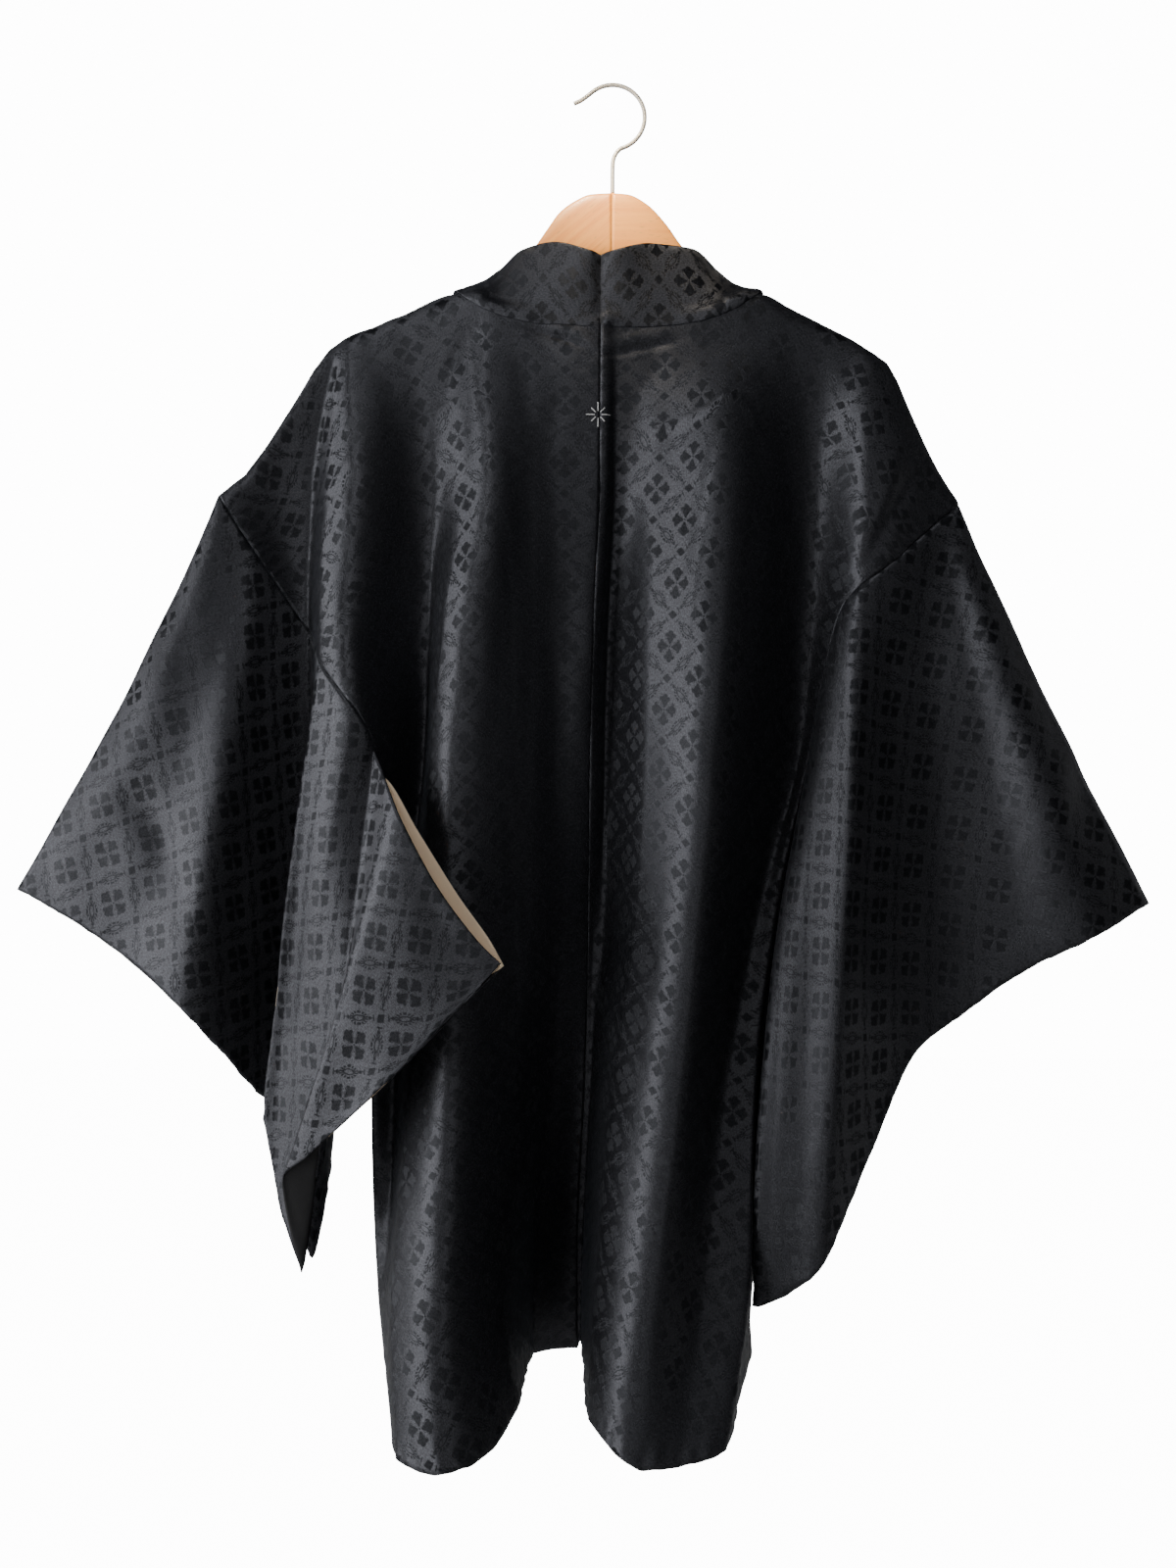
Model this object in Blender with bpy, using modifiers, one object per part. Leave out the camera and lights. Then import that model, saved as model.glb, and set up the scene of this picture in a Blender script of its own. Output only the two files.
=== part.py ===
"""A silk haori jacket hanging on a wooden hanger, seen from behind at -Y.

Metres, +Z up. The origin is the inside of the hook's top, where a rail or peg holds it.
The garment's back faces -Y and its fronts face +Y. The tables below give lengths in millimetres.
"""

import math
from collections import namedtuple

import bpy
import numpy as np
from mathutils import Vector
from mathutils.bvhtree import BVHTree

MM = 0.001

# Driving dimensions
CLOTH_THICKNESS = 1.2 * MM
COLLAR_THICKNESS = 3.0 * MM
COLLAR_SHARES = (0, 0.3, 0.6, 0.85, 1)
SEAM_HALF_GAP = 0.45 * MM
GUSSET_HALF_GAP = 2.4 * MM
ARMHOLE_HALF_GAP = 1.0 * MM
SHOULDER_HALF_GAP = 0.8
COLLAR_STAND_OFF = 3.3 * MM
STAND_OFF_REACH = 8 * MM
STAND_OFF_SLOPE = 0.1
ROLL_OVER_SHOULDER = 14
NECK_TO_SHOULDER = 30
BACK_ROWS = 25
BACK_COLUMNS = 26
FRONT_ROWS = 20
FRONT_COLUMNS = 16
GUSSET_ROWS = 18
SLEEVE_COLUMNS = 11
COLLAR_NECK_STEPS = 22
COLLAR_NECK_SHARE = 0.26
COLLAR_FRONT_STEPS = 14
ROLL_ROWS = (0, 0.003, 0.008, 0.016, 0.03)
WIRE_RADIUS = 1.6 * MM
HOOK_RADIUS = 24.4 * MM
HOOK_FOOT = -80.2 * MM
HANGER_X = -0.5
HANGER_JOINT = 0.15
HANGER_THICKNESS = 12
HANGER_BOW = 0.5
HANGER_STEPS = 16
HANGER_TIP_Z = -204

# The hanger's edges from its middle outward: distance and height
HANGER_TOP = (
    (0, -81), (16, -82), (28, -87), (40, -96), (48, -107),
    (57, -120), (70, -139), (90, -158), (118, -169), (164, -186),
)
HANGER_UNDERSIDE = (
    (0, -123), (10, -124), (20, -129), (40, -141), (60, -157), (90, -178), (120, -190), (165, -204)
)

# Heights of the sections that the fold tables give
BACK_LEVELS = (-200, -300, -400, -500, -600, -750, -900, -1000)
FRONT_LEVELS = (-200, -350, -500, -700, -850, -1000)

Fold = namedtuple("Fold", "name x y")

# The back's folds from the wearer's left to right: where each stands at BACK_LEVELS, and how deep.
BACK_FOLDS = (
    Fold(
        "outer_left",
        (-216, -290, -270, -240, -205, -200, -195, -190),
        (-9, -16, -20, -10, 6, 8, 5, 0),
    ),
    Fold("valley_1", (-208, -226, -229, -222, -190, -188, -182, -172), (-10, 6, 8, 4, 0, 0, -5, -8)),
    Fold(
        "crest_1",
        (-196, -200, -207, -185, -180, -180, -175, -163),
        (-14, -28, -36, -53, -24, -12, -22, -22),
    ),
    Fold(
        "valley_2",
        (-150, -136, -139, -142, -152, -165, -166, -157),
        (-11, -8, -2, 2, 0, -4, -38, -66),
    ),
    Fold(
        "crest_2",
        (-92, -90, -101, -112, -117, -118, -128, -129),
        (-18, -34, -44, -50, -54, -64, -84, -101),
    ),
    Fold("flank_2", (-62, -58, -58, -60, -62, -74, -82, -66), (-17, -22, -25, -27, -24, -16, -26, -46)),
    Fold(
        "valley_3_left",
        (-40, -40, -42, -42, -40, -45, -60, -62.5),
        (-18, -17, -18, -14, -6, 24, 46, 74),
    ),
    Fold("centre_seam", (-9, -10, -14, -17, -18, -21, -27, -27), (-20, -15, -13, -6, 8, 34, 66, 88)),
    Fold("seam_side", (-4, -5, -9, -12, -13, -16, -22.5, -24), (-19, -14, -9, -2, 12, 34, 66, 87)),
    Fold("valley_3_right", (2, 2, -3, -6, -7, -12, -20, -22.5), (-17, -5, 4, 10, 16, 26, 42, 36)),
    Fold("flank_3", (36, 36, 30, 26, 20, 3, -12, -19), (-16, -21, -24, -25, -22, -14, -28, -50)),
    Fold("crest_3", (80, 80, 76, 69, 61, 46, 26, 22), (-17, -42, -50, -57, -58, -54, -72, -92)),
    Fold("valley_4", (150, 151, 149, 143, 118, 88, 66, 48), (-12, -2, 8, 14, 8, -8, -46, -87)),
    Fold("crest_4", (190, 190, 184, 153, 128, 107, 97, 76), (-13, -26, -26, 10, 6, -10, -44, -80)),
    Fold("outer_right", (206, 250, 262, 172, 140, 109.5, 104, 92), (-9, -5, -4, 2, 16, 16, 0, -14)),
)

# The fronts' folds in the same way, at FRONT_LEVELS.
FRONT_FOLDS = (
    Fold("outer_left", (-216, -292, -190, -188, -184, -166), (9, 16, 24, 40, 46, 48)),
    Fold("crest_left_1", (-186, -178, -166, -162, -160, -146), (12, 44, 58, 86, 96, 102)),
    Fold("valley_left_1", (-152, -146, -134, -128, -126, -116), (10, 18, 24, 44, 52, 58)),
    Fold("crest_left_2", (-128, -112, -100, -94, -92, -88), (14, 58, 84, 112, 124, 130)),
    Fold("centre_left", (-60, -50, -50, -50, -50, -50), (40, 66, 84, 100, 110, 116)),
    Fold("centre_right", (60, 50, 48, 46, 46, 46), (40, 66, 84, 100, 110, 116)),
    Fold("crest_right_2", (122, 100, 82, 70, 70, 72), (14, 58, 84, 110, 122, 132)),
    Fold("valley_right_1", (148, 128, 104, 86, 84, 90), (10, 20, 46, 72, 82, 96)),
    Fold("crest_right_1", (180, 158, 130, 102, 98, 106), (12, 44, 70, 104, 116, 132)),
    Fold("outer_right", (206, 262, 160, 116, 109, 118), (9, 16, 44, 60, 66, 84)),
)

Point = namedtuple("Point", "x y z")
SleeveFold = namedtuple("SleeveFold", "name start end bow")

# Each sleeve wall is a fan of fold lines, from the armhole or open inner edge to the cuff or bottom edge.
LEFT_BACK = (
    SleeveFold("top_fold", Point(-296, None, -309), Point(-447, -8, -606), Point(7, -4, 0)),
    SleeveFold("upper", Point(-287, None, -323), Point(-412, -19, -622), Point(6, -6, 0)),
    SleeveFold("dip", Point(-276, None, -340), Point(-362, -30, -652), Point(6, -8, 0)),
    SleeveFold("crest", Point(-264, None, -359), Point(-312, -54, -688), Point(4, -12, 0)),
    SleeveFold("below_crest", Point(-250, None, -381), Point(-282, -32, -730), Point(0, -4, 0)),
    SleeveFold("lip", Point(-236, None, -404), Point(-264, -10, -760), Point(0, 4, 0)),
    SleeveFold("valley", Point(-225, None, -421), Point(-238, 12, -788), Point(2, 8, 0)),
    SleeveFold("under_ridge", Point(-219, None, -431), Point(-244, -16, -788), Point(0, -4, 0)),
    SleeveFold("ridge", Point(-216, None, -436), Point(-256, -34, -772), Point(-2, -4, 0)),
    SleeveFold("ridge_inner", Point(-207, None, -450), Point(-250, -46, -802), Point(-2, -6, 0)),
    SleeveFold("middle", Point(-191, None, -477), Point(-242, -49, -838), Point(0, -12, 0)),
    SleeveFold("underarm", Point(-175, None, -501), Point(-225, -42, -880), Point(4, -18, 0)),
    SleeveFold("hanging_1", Point(-150, -71, -552), Point(-238, -54, -814), Point(0, -8, 0)),
    SleeveFold("hanging_2", Point(-122, -82, -602), Point(-216, -66, -790), Point(0, -5, 0)),
    SleeveFold("hanging_3", Point(-92, -90, -640), Point(-164, -84, -740), Point(0, -3, 0)),
    SleeveFold("corner", Point(-79, -93, -652), Point(-96, -92, -670), Point(0, 0, 0)),
)
LEFT_FRONT = (
    SleeveFold("top_fold", Point(-296, None, -309), Point(-447, -5, -606), Point(7, -1, 0)),
    SleeveFold("upper", Point(-280, None, -336), Point(-400, -14, -628), Point(4, 6, 0)),
    SleeveFold("middle", Point(-258, None, -374), Point(-340, -30, -662), Point(0, 10, 0)),
    SleeveFold("lower", Point(-236, None, -415), Point(-290, -12, -716), Point(0, 16, 0)),
    SleeveFold("behind_valley", Point(-212, None, -460), Point(-246, 24, -784), Point(0, 10, 0)),
    SleeveFold("underarm", Point(-190, None, -502), Point(-216, 16, -815), Point(0, 6, 0)),
    SleeveFold("round_side", Point(-191, -16, -514), Point(-214, -16, -836), Point(-3, 2, 0)),
    SleeveFold("inner_edge_1", Point(-185, -41, -532), Point(-222, -34, -876), Point(-4, -3, 0)),
    SleeveFold("inner_edge_2", Point(-150, -61, -567), Point(-234, -42, -814), Point(0, -4, 0)),
    SleeveFold("inner_edge_3", Point(-110, -77, -610), Point(-214, -51, -790), Point(0, -4, 0)),
    SleeveFold("inner_edge_4", Point(-87, -84, -641), Point(-163, -76, -741), Point(0, -2, 0)),
    SleeveFold("corner", Point(-77, -88, -654), Point(-95, -86, -671), Point(0, 0, 0)),
)
RIGHT_BACK = (
    SleeveFold("top_fold", Point(261, None, -316), Point(405, -2, -617), Point(-4, -4, 0)),
    SleeveFold("upper", Point(253, None, -323), Point(353, -24, -642), Point(-2, -8, 0)),
    SleeveFold("middle", Point(243, None, -332), Point(312, -7, -666), Point(0, 0, 0)),
    SleeveFold("soft_valley", Point(226, None, -347), Point(266, 5, -702), Point(0, 4, 0)),
    SleeveFold("below_valley", Point(206, None, -364), Point(230, -2, -728), Point(0, 2, 0)),
    SleeveFold("outer_flank", Point(193, None, -376), Point(190, -20, -804), Point(-2, -6, 0)),
    SleeveFold("crest", Point(182, None, -386), Point(150, -46, -878), Point(0, -10, 0)),
    SleeveFold("inner_flank", Point(173, None, -396), Point(134, -37, -896), Point(-4, -8, 0)),
    SleeveFold("valley", Point(163, None, -432), Point(117, -24, -909), Point(-8, -8, 0)),
    SleeveFold("underarm", Point(155, None, -490), Point(107, -14, -914), Point(-12, -6, 0)),
    SleeveFold("hanging_1", Point(150, 40, -560), Point(113, 24, -902), Point(-4, 4, 0)),
    SleeveFold("hanging_2", Point(142, 60, -650), Point(126, 56, -852), Point(0, 2, 0)),
    SleeveFold("corner", Point(136, 74, -736), Point(132, 73, -760), Point(0, 0, 0)),
)
RIGHT_FRONT = (
    SleeveFold("top_fold", Point(261, None, -316), Point(405, 1, -617), Point(-4, -1, 0)),
    SleeveFold("upper", Point(246, None, -334), Point(352, -4, -643), Point(-2, 6, 0)),
    SleeveFold("middle", Point(228, None, -356), Point(308, 2, -668), Point(0, 8, 0)),
    SleeveFold("lower", Point(206, None, -392), Point(258, 12, -706), Point(0, 10, 0)),
    SleeveFold("crest", Point(186, None, -430), Point(212, 8, -740), Point(4, 12, 0)),
    SleeveFold("underarm", Point(168, None, -488), Point(198, 10, -790), Point(6, 12, 0)),
    SleeveFold("inner_edge_1", Point(160, 62, -560), Point(162, 12, -884), Point(8, 12, 0)),
    SleeveFold("inner_edge_2", Point(152, 74, -630), Point(128, 30, -904), Point(6, 12, 0)),
    SleeveFold("inner_edge_3", Point(146, 80, -700), Point(131, 62, -856), Point(4, 6, 0)),
    SleeveFold("corner", Point(139, 80, -734), Point(135, 79, -760), Point(0, 0, 0)),
)

# The hollows' outlines seen from behind: (x, z)
NECK_SEAM_LEFT = ((-9, -185), (-48, -183.5), (-70, -180), (-95, -172), (-117, -157))
SHOULDER_LEFT = (
    (-117, -157), (-164, -176), (-202, -192), (-213, -200), (-225, -215), (-240, -240), (-277, -294)
)
ARMHOLE_LEFT = ((-296, -309), (-256, -372), (-216, -436), (-174, -503))
SIDE_LEFT = ((-178, -600), (-180, -750), (-174, -900), (-161, -1000))
NECK_SEAM_RIGHT = ((-9, -185), (30, -184.5), (62, -181), (88, -172), (111, -157))
SHOULDER_RIGHT = (
    (111, -157), (142, -173), (180, -192), (206, -209), (214, -223), (227, -253), (246, -292)
)
ARMHOLE_RIGHT = ((261, -316), (216, -355), (171, -396), (160, -445), (152, -494))
SIDE_RIGHT = ((130, -600), (109.5, -750), (104, -900), (91, -990))
CENTRE_SEAM = (
    (-9, -185), (-10, -300), (-14, -400), (-17, -500), (-18, -600), (-21, -750), (-27, -900), (-27, -986)
)
HEM_LEFT = ((-27, -984), (-62, -982), (-66, -975), (-86, -990), (-128, -999), (-161, -997))
HEM_RIGHT = ((-27, -984), (-24.5, -977), (-16, -981), (24, -1002), (60, -1000), (91, -990))
FRONT_ARMHOLE_LEFT = ((-296, -309), (-258, -374), (-224, -436), (-188, -505))
FRONT_SIDE_LEFT = ((-187, -600), (-186, -750), (-182, -900), (-166, -992))
FRONT_ARMHOLE_RIGHT = ((261, -316), (216, -372), (182, -436), (162, -497))
FRONT_SIDE_RIGHT = ((138, -600), (114, -750), (110, -900), (116, -992))
FRONT_EDGE_LEFT = ((-117, -157), (-112, -200), (-93, -300), (-76, -500), (-72, -700), (-70, -992))
FRONT_EDGE_RIGHT = ((111, -157), (106, -200), (88, -300), (70, -500), (66, -700), (64, -992))

# The collar's stations from centre back to the front hem. A seam marked BEHIND or AHEAD lies on
# the back's or the front's panel.
BEHIND, AHEAD = "behind", "ahead"
CollarStation = namedtuple("CollarStation", "free seam crown")
COLLAR_LEFT = (
    CollarStation(Point(-11, -25, -134), Point(-9, BEHIND, -187), 0),
    CollarStation(Point(-47, -16, -123), Point(-48, BEHIND, -185.5), 1),
    CollarStation(Point(-68, -6, -120), Point(-70, BEHIND, -182), 2),
    CollarStation(Point(-86, 14, -125), Point(-94, BEHIND, -174.5), 6),
    CollarStation(Point(-93, 28, -131), Point(-109, BEHIND, -165), 7),
    CollarStation(Point(-97, 38, -139), Point(-117.5, -9, -156), 8),
    CollarStation(Point(-99, 46, -147), Point(-120, 2, -154.5), 8),
    CollarStation(Point(-99, 52, -157), Point(-119, 12, -157.5), 7),
    CollarStation(Point(-96, 58, -172), Point(-117.5, AHEAD, -174), 6),
    CollarStation(Point(-88, 65, -200), Point(-114, AHEAD, -200), 5),
    CollarStation(Point(-68, 73, -250), Point(-105, AHEAD, -252), 4),
    CollarStation(Point(-50, 82, -300), Point(-95.5, AHEAD, -302), 3),
    CollarStation(Point(-34, 92, -400), Point(-86, AHEAD, -402), 2),
    CollarStation(Point(-27, 101, -500), Point(-79, AHEAD, -502), 2),
    CollarStation(Point(-18, 116, -700), Point(-74.5, AHEAD, -702), 2),
    CollarStation(Point(-16, 124, -850), Point(-73.5, AHEAD, -852), 2),
    CollarStation(Point(-14, 130, -990), Point(-72.5, AHEAD, -992), 2),
)
COLLAR_RIGHT = (
    CollarStation(Point(-7, -25, -134), Point(-9, BEHIND, -187), 0),
    CollarStation(Point(30, -16, -124), Point(30, BEHIND, -186.5), 1),
    CollarStation(Point(60, -8, -120), Point(63, BEHIND, -183), 2),
    CollarStation(Point(80, 14, -126), Point(88, BEHIND, -174.5), 6),
    CollarStation(Point(87, 28, -132), Point(103, BEHIND, -165), 7),
    CollarStation(Point(91, 38, -140), Point(111.5, -9, -156), 8),
    CollarStation(Point(93, 46, -148), Point(114, 2, -154.5), 8),
    CollarStation(Point(93, 52, -158), Point(113, 12, -157.5), 7),
    CollarStation(Point(90, 58, -173), Point(111.5, AHEAD, -174), 6),
    CollarStation(Point(82, 65, -200), Point(108, AHEAD, -200), 5),
    CollarStation(Point(63, 73, -250), Point(99.5, AHEAD, -252), 4),
    CollarStation(Point(46, 82, -300), Point(90.5, AHEAD, -302), 3),
    CollarStation(Point(29, 92, -400), Point(80, AHEAD, -402), 2),
    CollarStation(Point(22, 101, -500), Point(73, AHEAD, -502), 2),
    CollarStation(Point(14, 116, -700), Point(68.5, AHEAD, -702), 2),
    CollarStation(Point(13, 124, -850), Point(67.5, AHEAD, -852), 2),
    CollarStation(Point(12, 130, -990), Point(66.5, AHEAD, -992), 2),
)


def smooth(knots, values, at):
    """Values read from a smooth curve through the knots, with no overshoot between them."""
    knots = np.asarray(knots, float)
    values = np.asarray(values, float)
    at = np.clip(np.asarray(at, float), knots[0], knots[-1])
    step = np.diff(knots)
    rise = np.diff(values) / step
    slope = np.zeros(len(knots))
    slope[0], slope[-1] = rise[0], rise[-1]
    for i in range(1, len(knots) - 1):
        if rise[i - 1] * rise[i] > 0:
            near, far = 2 * step[i] + step[i - 1], step[i] + 2 * step[i - 1]
            slope[i] = (near + far) / (near / rise[i - 1] + far / rise[i])
    i = np.clip(np.searchsorted(knots, at, side="right") - 1, 0, len(step) - 1)
    t = (at - knots[i]) / step[i]
    return (
        values[i] * (1 + 2 * t) * (1 - t) ** 2
        + slope[i] * step[i] * t * (1 - t) ** 2
        + values[i + 1] * t**2 * (3 - 2 * t)
        + slope[i + 1] * step[i] * t**2 * (t - 1)
    )


def along(points, shares):
    """Points at the given shares of the way along a smooth line through the points."""
    points = np.asarray(points, float)
    length = np.concatenate([[0], np.cumsum(np.linalg.norm(np.diff(points, axis=0), axis=1))])
    return np.stack([smooth(length / length[-1], column, shares) for column in points.T], axis=-1)


class Drape:
    """How far the hanging cloth stands towards +Y at each x and z, from a table of folds.

    It rolls over at the shoulder. The side is -1 for the cloth behind and 1 for the cloth in front."""

    def __init__(self, folds, levels, side):
        self.down = -np.asarray(levels, float)
        self.folds = folds
        self.side = side

    def depth(self, x, z):
        x, z = np.asarray(x, float), np.asarray(z, float)
        down = np.clip(-z, self.down[0], self.down[-1])
        places = np.transpose([smooth(self.down, fold.x, down) for fold in self.folds])
        depths = np.transpose([smooth(self.down, fold.y, down) for fold in self.folds])
        rows = zip(x, places, depths)
        folded = np.array([smooth(place, deep, [at])[0] for at, place, deep in rows])
        fall = np.clip((np.interp(x, *SHOULDER_LINE) - z) / ROLL_OVER_SHOULDER, 0, 1)
        start = self.side * SHOULDER_HALF_GAP
        rolled = start + (folded - start) * np.sqrt(1 - (1 - fall) ** 2)
        neck = np.where(x < 0, -NECK_SEAM_LEFT[-1][0], NECK_SEAM_RIGHT[-1][0])
        onto_shoulder = np.clip((np.abs(x) - neck) / NECK_TO_SHOULDER + 1, 0, 1)
        return (1 - onto_shoulder) * folded + onto_shoulder * rolled


SHOULDER_LINE = np.transpose(ARMHOLE_LEFT[:1] + SHOULDER_LEFT[::-1] + SHOULDER_RIGHT + ARMHOLE_RIGHT[:1])
BACK = Drape(BACK_FOLDS, BACK_LEVELS, -1)
FRONT = Drape(FRONT_FOLDS, FRONT_LEVELS, 1)


def patch(top, bottom, inner, outer, down, columns):
    """A grid of (x, z) that fills the outline between four edges."""
    across = np.linspace(0, 1, columns)
    top, bottom = along(top, across), along(bottom, across)
    inner, outer = along(inner, down), along(outer, down)
    s, v = across[None, :, None], down[:, None, None]
    upper = (1 - s) * top[0] + s * top[-1]
    lower = (1 - s) * bottom[0] + s * bottom[-1]
    corners = (1 - v) * upper + v * lower
    return (1 - v) * top + v * bottom + (1 - s) * inner[:, None] + s * outer[:, None] - corners


def drape_panel(outline, drape, rows, columns):
    """Hangs a flat outline on the drape, each row spaced out evenly along the folds that it crosses."""
    down = np.concatenate([ROLL_ROWS, np.linspace(ROLL_ROWS[-1], 1, rows - len(ROLL_ROWS) + 1)[1:]])
    grid = np.empty((rows, columns, 3))
    for i, row in enumerate(patch(*outline, down, 8 * columns)):
        line = np.column_stack([row[:, 0], drape.depth(row[:, 0], row[:, 1]), row[:, 1]])
        grid[i] = evenly(line, columns)
    return grid * MM


def evenly(line, count):
    """The same line with its points spaced evenly along it."""
    length = np.concatenate([[0], np.cumsum(np.linalg.norm(np.diff(line, axis=0), axis=1))])
    at = np.linspace(0, length[-1], count)
    return np.stack([np.interp(at, length, column) for column in line.T], axis=-1)


def pull_in(grid, gap, sides="lrtb"):
    """Draws the named edges of a grid back by a seam's half gap."""
    grid = grid.copy()

    def nudge(edge, inside):
        away = inside - edge
        return edge + away / np.linalg.norm(away, axis=-1, keepdims=True) * gap

    if "l" in sides:
        grid[:, 0] = nudge(grid[:, 0], grid[:, 1])
    if "r" in sides:
        grid[:, -1] = nudge(grid[:, -1], grid[:, -2])
    if "t" in sides:
        grid[0] = nudge(grid[0], grid[1])
    if "b" in sides:
        grid[-1] = nudge(grid[-1], grid[-2])
    return grid


def material(name, colour, roughness, metallic=0.0):
    made = bpy.data.materials.new(name)
    made.use_nodes = True
    shader = made.node_tree.nodes["Principled BSDF"]
    shader.inputs["Base Color"].default_value = (*colour, 1.0)
    shader.inputs["Roughness"].default_value = roughness
    shader.inputs["Metallic"].default_value = metallic
    return made


def mesh_object(name, points, faces, finish):
    mesh = bpy.data.meshes.new(name)
    mesh.from_pydata([tuple(p) for p in points], [], faces)
    mesh.update()
    mesh.shade_smooth()
    made = bpy.data.objects.new(name, mesh)
    mesh.materials.append(finish)
    collection.objects.link(made)
    return made


def cloth(name, grid, finish, thickness=CLOTH_THICKNESS, flip=False):
    """A cloth wall of even thickness about a grid of points."""
    rows, columns = grid.shape[:2]
    faces = []
    for i in range(rows - 1):
        for j in range(columns - 1):
            a = i * columns + j
            quad = (a, a + columns, a + columns + 1, a + 1)
            faces.append(quad[::-1] if flip else quad)
    made = mesh_object(name, grid.reshape(-1, 3), faces, finish)
    wall = made.modifiers.new("wall", "SOLIDIFY")
    wall.thickness = thickness
    wall.offset = 0
    wall.use_even_offset = False
    return made


def sleeve_wall(name, folds, drape, finish):
    """A sleeve's wall: a fan of fold lines, with soft folds between them."""
    starts, ends, bows = [], [], []
    for fold in folds:
        start = list(fold.start)
        if start[1] is None:
            start[1] = drape.depth([start[0]], [start[2]])[0]
        starts.append(start)
        ends.append(fold.end)
        bows.append(fold.bow)
    starts, ends, bows = (np.array(points, float) for points in (starts, ends, bows))
    share = np.linspace(0, 1, SLEEVE_COLUMNS)[None, :, None]
    straight = (1 - share) * starts[:, None] + share * ends[:, None]
    lines = straight + 4 * share * (1 - share) * bows[:, None]
    knots = np.arange(len(folds))
    fine = np.linspace(0, len(folds) - 1, 2 * len(folds) - 1)
    grid = np.empty((len(fine), SLEEVE_COLUMNS, 3))
    for j in range(SLEEVE_COLUMNS):
        for k in range(3):
            grid[:, j, k] = smooth(knots, lines[:, j, k], fine)
    grid = pull_in(pull_in(grid * MM, ARMHOLE_HALF_GAP, "l"), SEAM_HALF_GAP, "tb")
    return cloth(name, grid, finish)


def on_panel(x, y, z):
    """A point of the collar's seam, on the panel that it is sewn to."""
    if y == BEHIND:
        y = BACK.depth([x], [z])[0]
    elif y == AHEAD:
        y = FRONT.depth([x], [z])[0]
    return x, y, z


def stood_off(grid, panel, side):
    """The grid with the points that lie on a panel moved out from it."""
    rows, columns = panel.shape[:2]
    corners = [k for k in range((rows - 1) * columns) if (k + 1) % columns]
    quads = [(k, k + 1, k + columns + 1, k + columns) for k in corners]
    tree = BVHTree.FromPolygons([Vector(point) for point in panel.reshape(-1, 3)], quads)
    moved = grid.copy()
    for point in moved.reshape(-1, 3):
        nearest, normal, _, distance = tree.find_nearest(Vector(point))
        normal = normal if normal.y * side > 0 else -normal
        away = Vector(point) - nearest
        height = away.dot(normal)
        beside = (away - height * normal).length
        if distance < STAND_OFF_REACH and height < COLLAR_STAND_OFF - STAND_OFF_SLOPE * beside:
            point += (COLLAR_STAND_OFF - height) * np.array(normal)
    return moved


def collar_half(name, stations, back, front, finish):
    """The folded band from centre back round the neck and down one front, crowned between its edges."""
    neck = np.linspace(0, COLLAR_NECK_SHARE, COLLAR_NECK_STEPS)
    shares = np.concatenate([neck, np.linspace(COLLAR_NECK_SHARE, 1, COLLAR_FRONT_STEPS)[1:]])
    seams = [on_panel(*station.seam) for station in stations]
    free = along([station.free for station in stations], shares)
    seam = along(seams, shares)
    lengths = np.linspace(0, 1, len(stations))
    crown = smooth(lengths, [station.crown for station in stations], shares)[:, None]
    width = (free - seam) / np.linalg.norm(free - seam, axis=1, keepdims=True)
    onward = np.gradient(seam, shares, axis=0)
    outward = np.cross(onward, width)
    outward /= np.linalg.norm(outward, axis=1, keepdims=True)
    if outward[0, 1] > 0:
        outward = -outward
    grid = [(1 - t) * free + t * seam + 4 * t * (1 - t) * crown * outward for t in COLLAR_SHARES]
    grid = pull_in(np.stack(grid, axis=1) * MM, SEAM_HALF_GAP, "t")
    grid = stood_off(stood_off(grid, back, -1), front, 1)
    return cloth(name, grid, finish, COLLAR_THICKNESS)


def hanger_arm(name, side, tip, finish):
    """Half of the wooden hanger: a flat shape, thickest at the middle, bowed forward towards its tip."""
    top = [point for point in HANGER_TOP if point[0] < tip - 4] + [(tip, HANGER_TIP_Z)]
    low = [point for point in HANGER_UNDERSIDE if point[0] < tip - 4] + [(tip, HANGER_TIP_Z - 9)]
    shares = np.linspace(0, 1, HANGER_STEPS)
    top, low = along(top, shares), along(low, shares)
    points, faces = [], []
    for share, upper, under in zip(shares, top, low):
        half = HANGER_THICKNESS / 2 * (1 - 0.35 * share)
        bevel = 0.45 * half
        forward = HANGER_BOW * share**2
        outline = (
            (upper, -half + bevel, 0),
            (upper, half - bevel, 0),
            (upper, half, -bevel),
            (under, half, bevel),
            (under, half - bevel, 0),
            (under, -half + bevel, 0),
            (under, -half, bevel),
            (upper, -half, -bevel),
        )
        for (x, z), y, rise in outline:
            place = (side * (x + HANGER_JOINT) + HANGER_X, y + forward, z + rise)
            points.append([value * MM for value in place])
    sides = len(outline)
    for i in range(HANGER_STEPS - 1):
        for k in range(sides):
            a, b = sides * i + k, sides * i + (k + 1) % sides
            quad = (a, b, b + sides, a + sides)
            faces.append(quad[::-1] if side > 0 else quad)
    inner_end = tuple(range(sides))[::-1]
    outer_end = tuple(sides * (HANGER_STEPS - 1) + k for k in range(sides))
    faces += [end[::-1] if side > 0 else end for end in (inner_end, outer_end)]
    return mesh_object(name, points, faces, finish)


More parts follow.
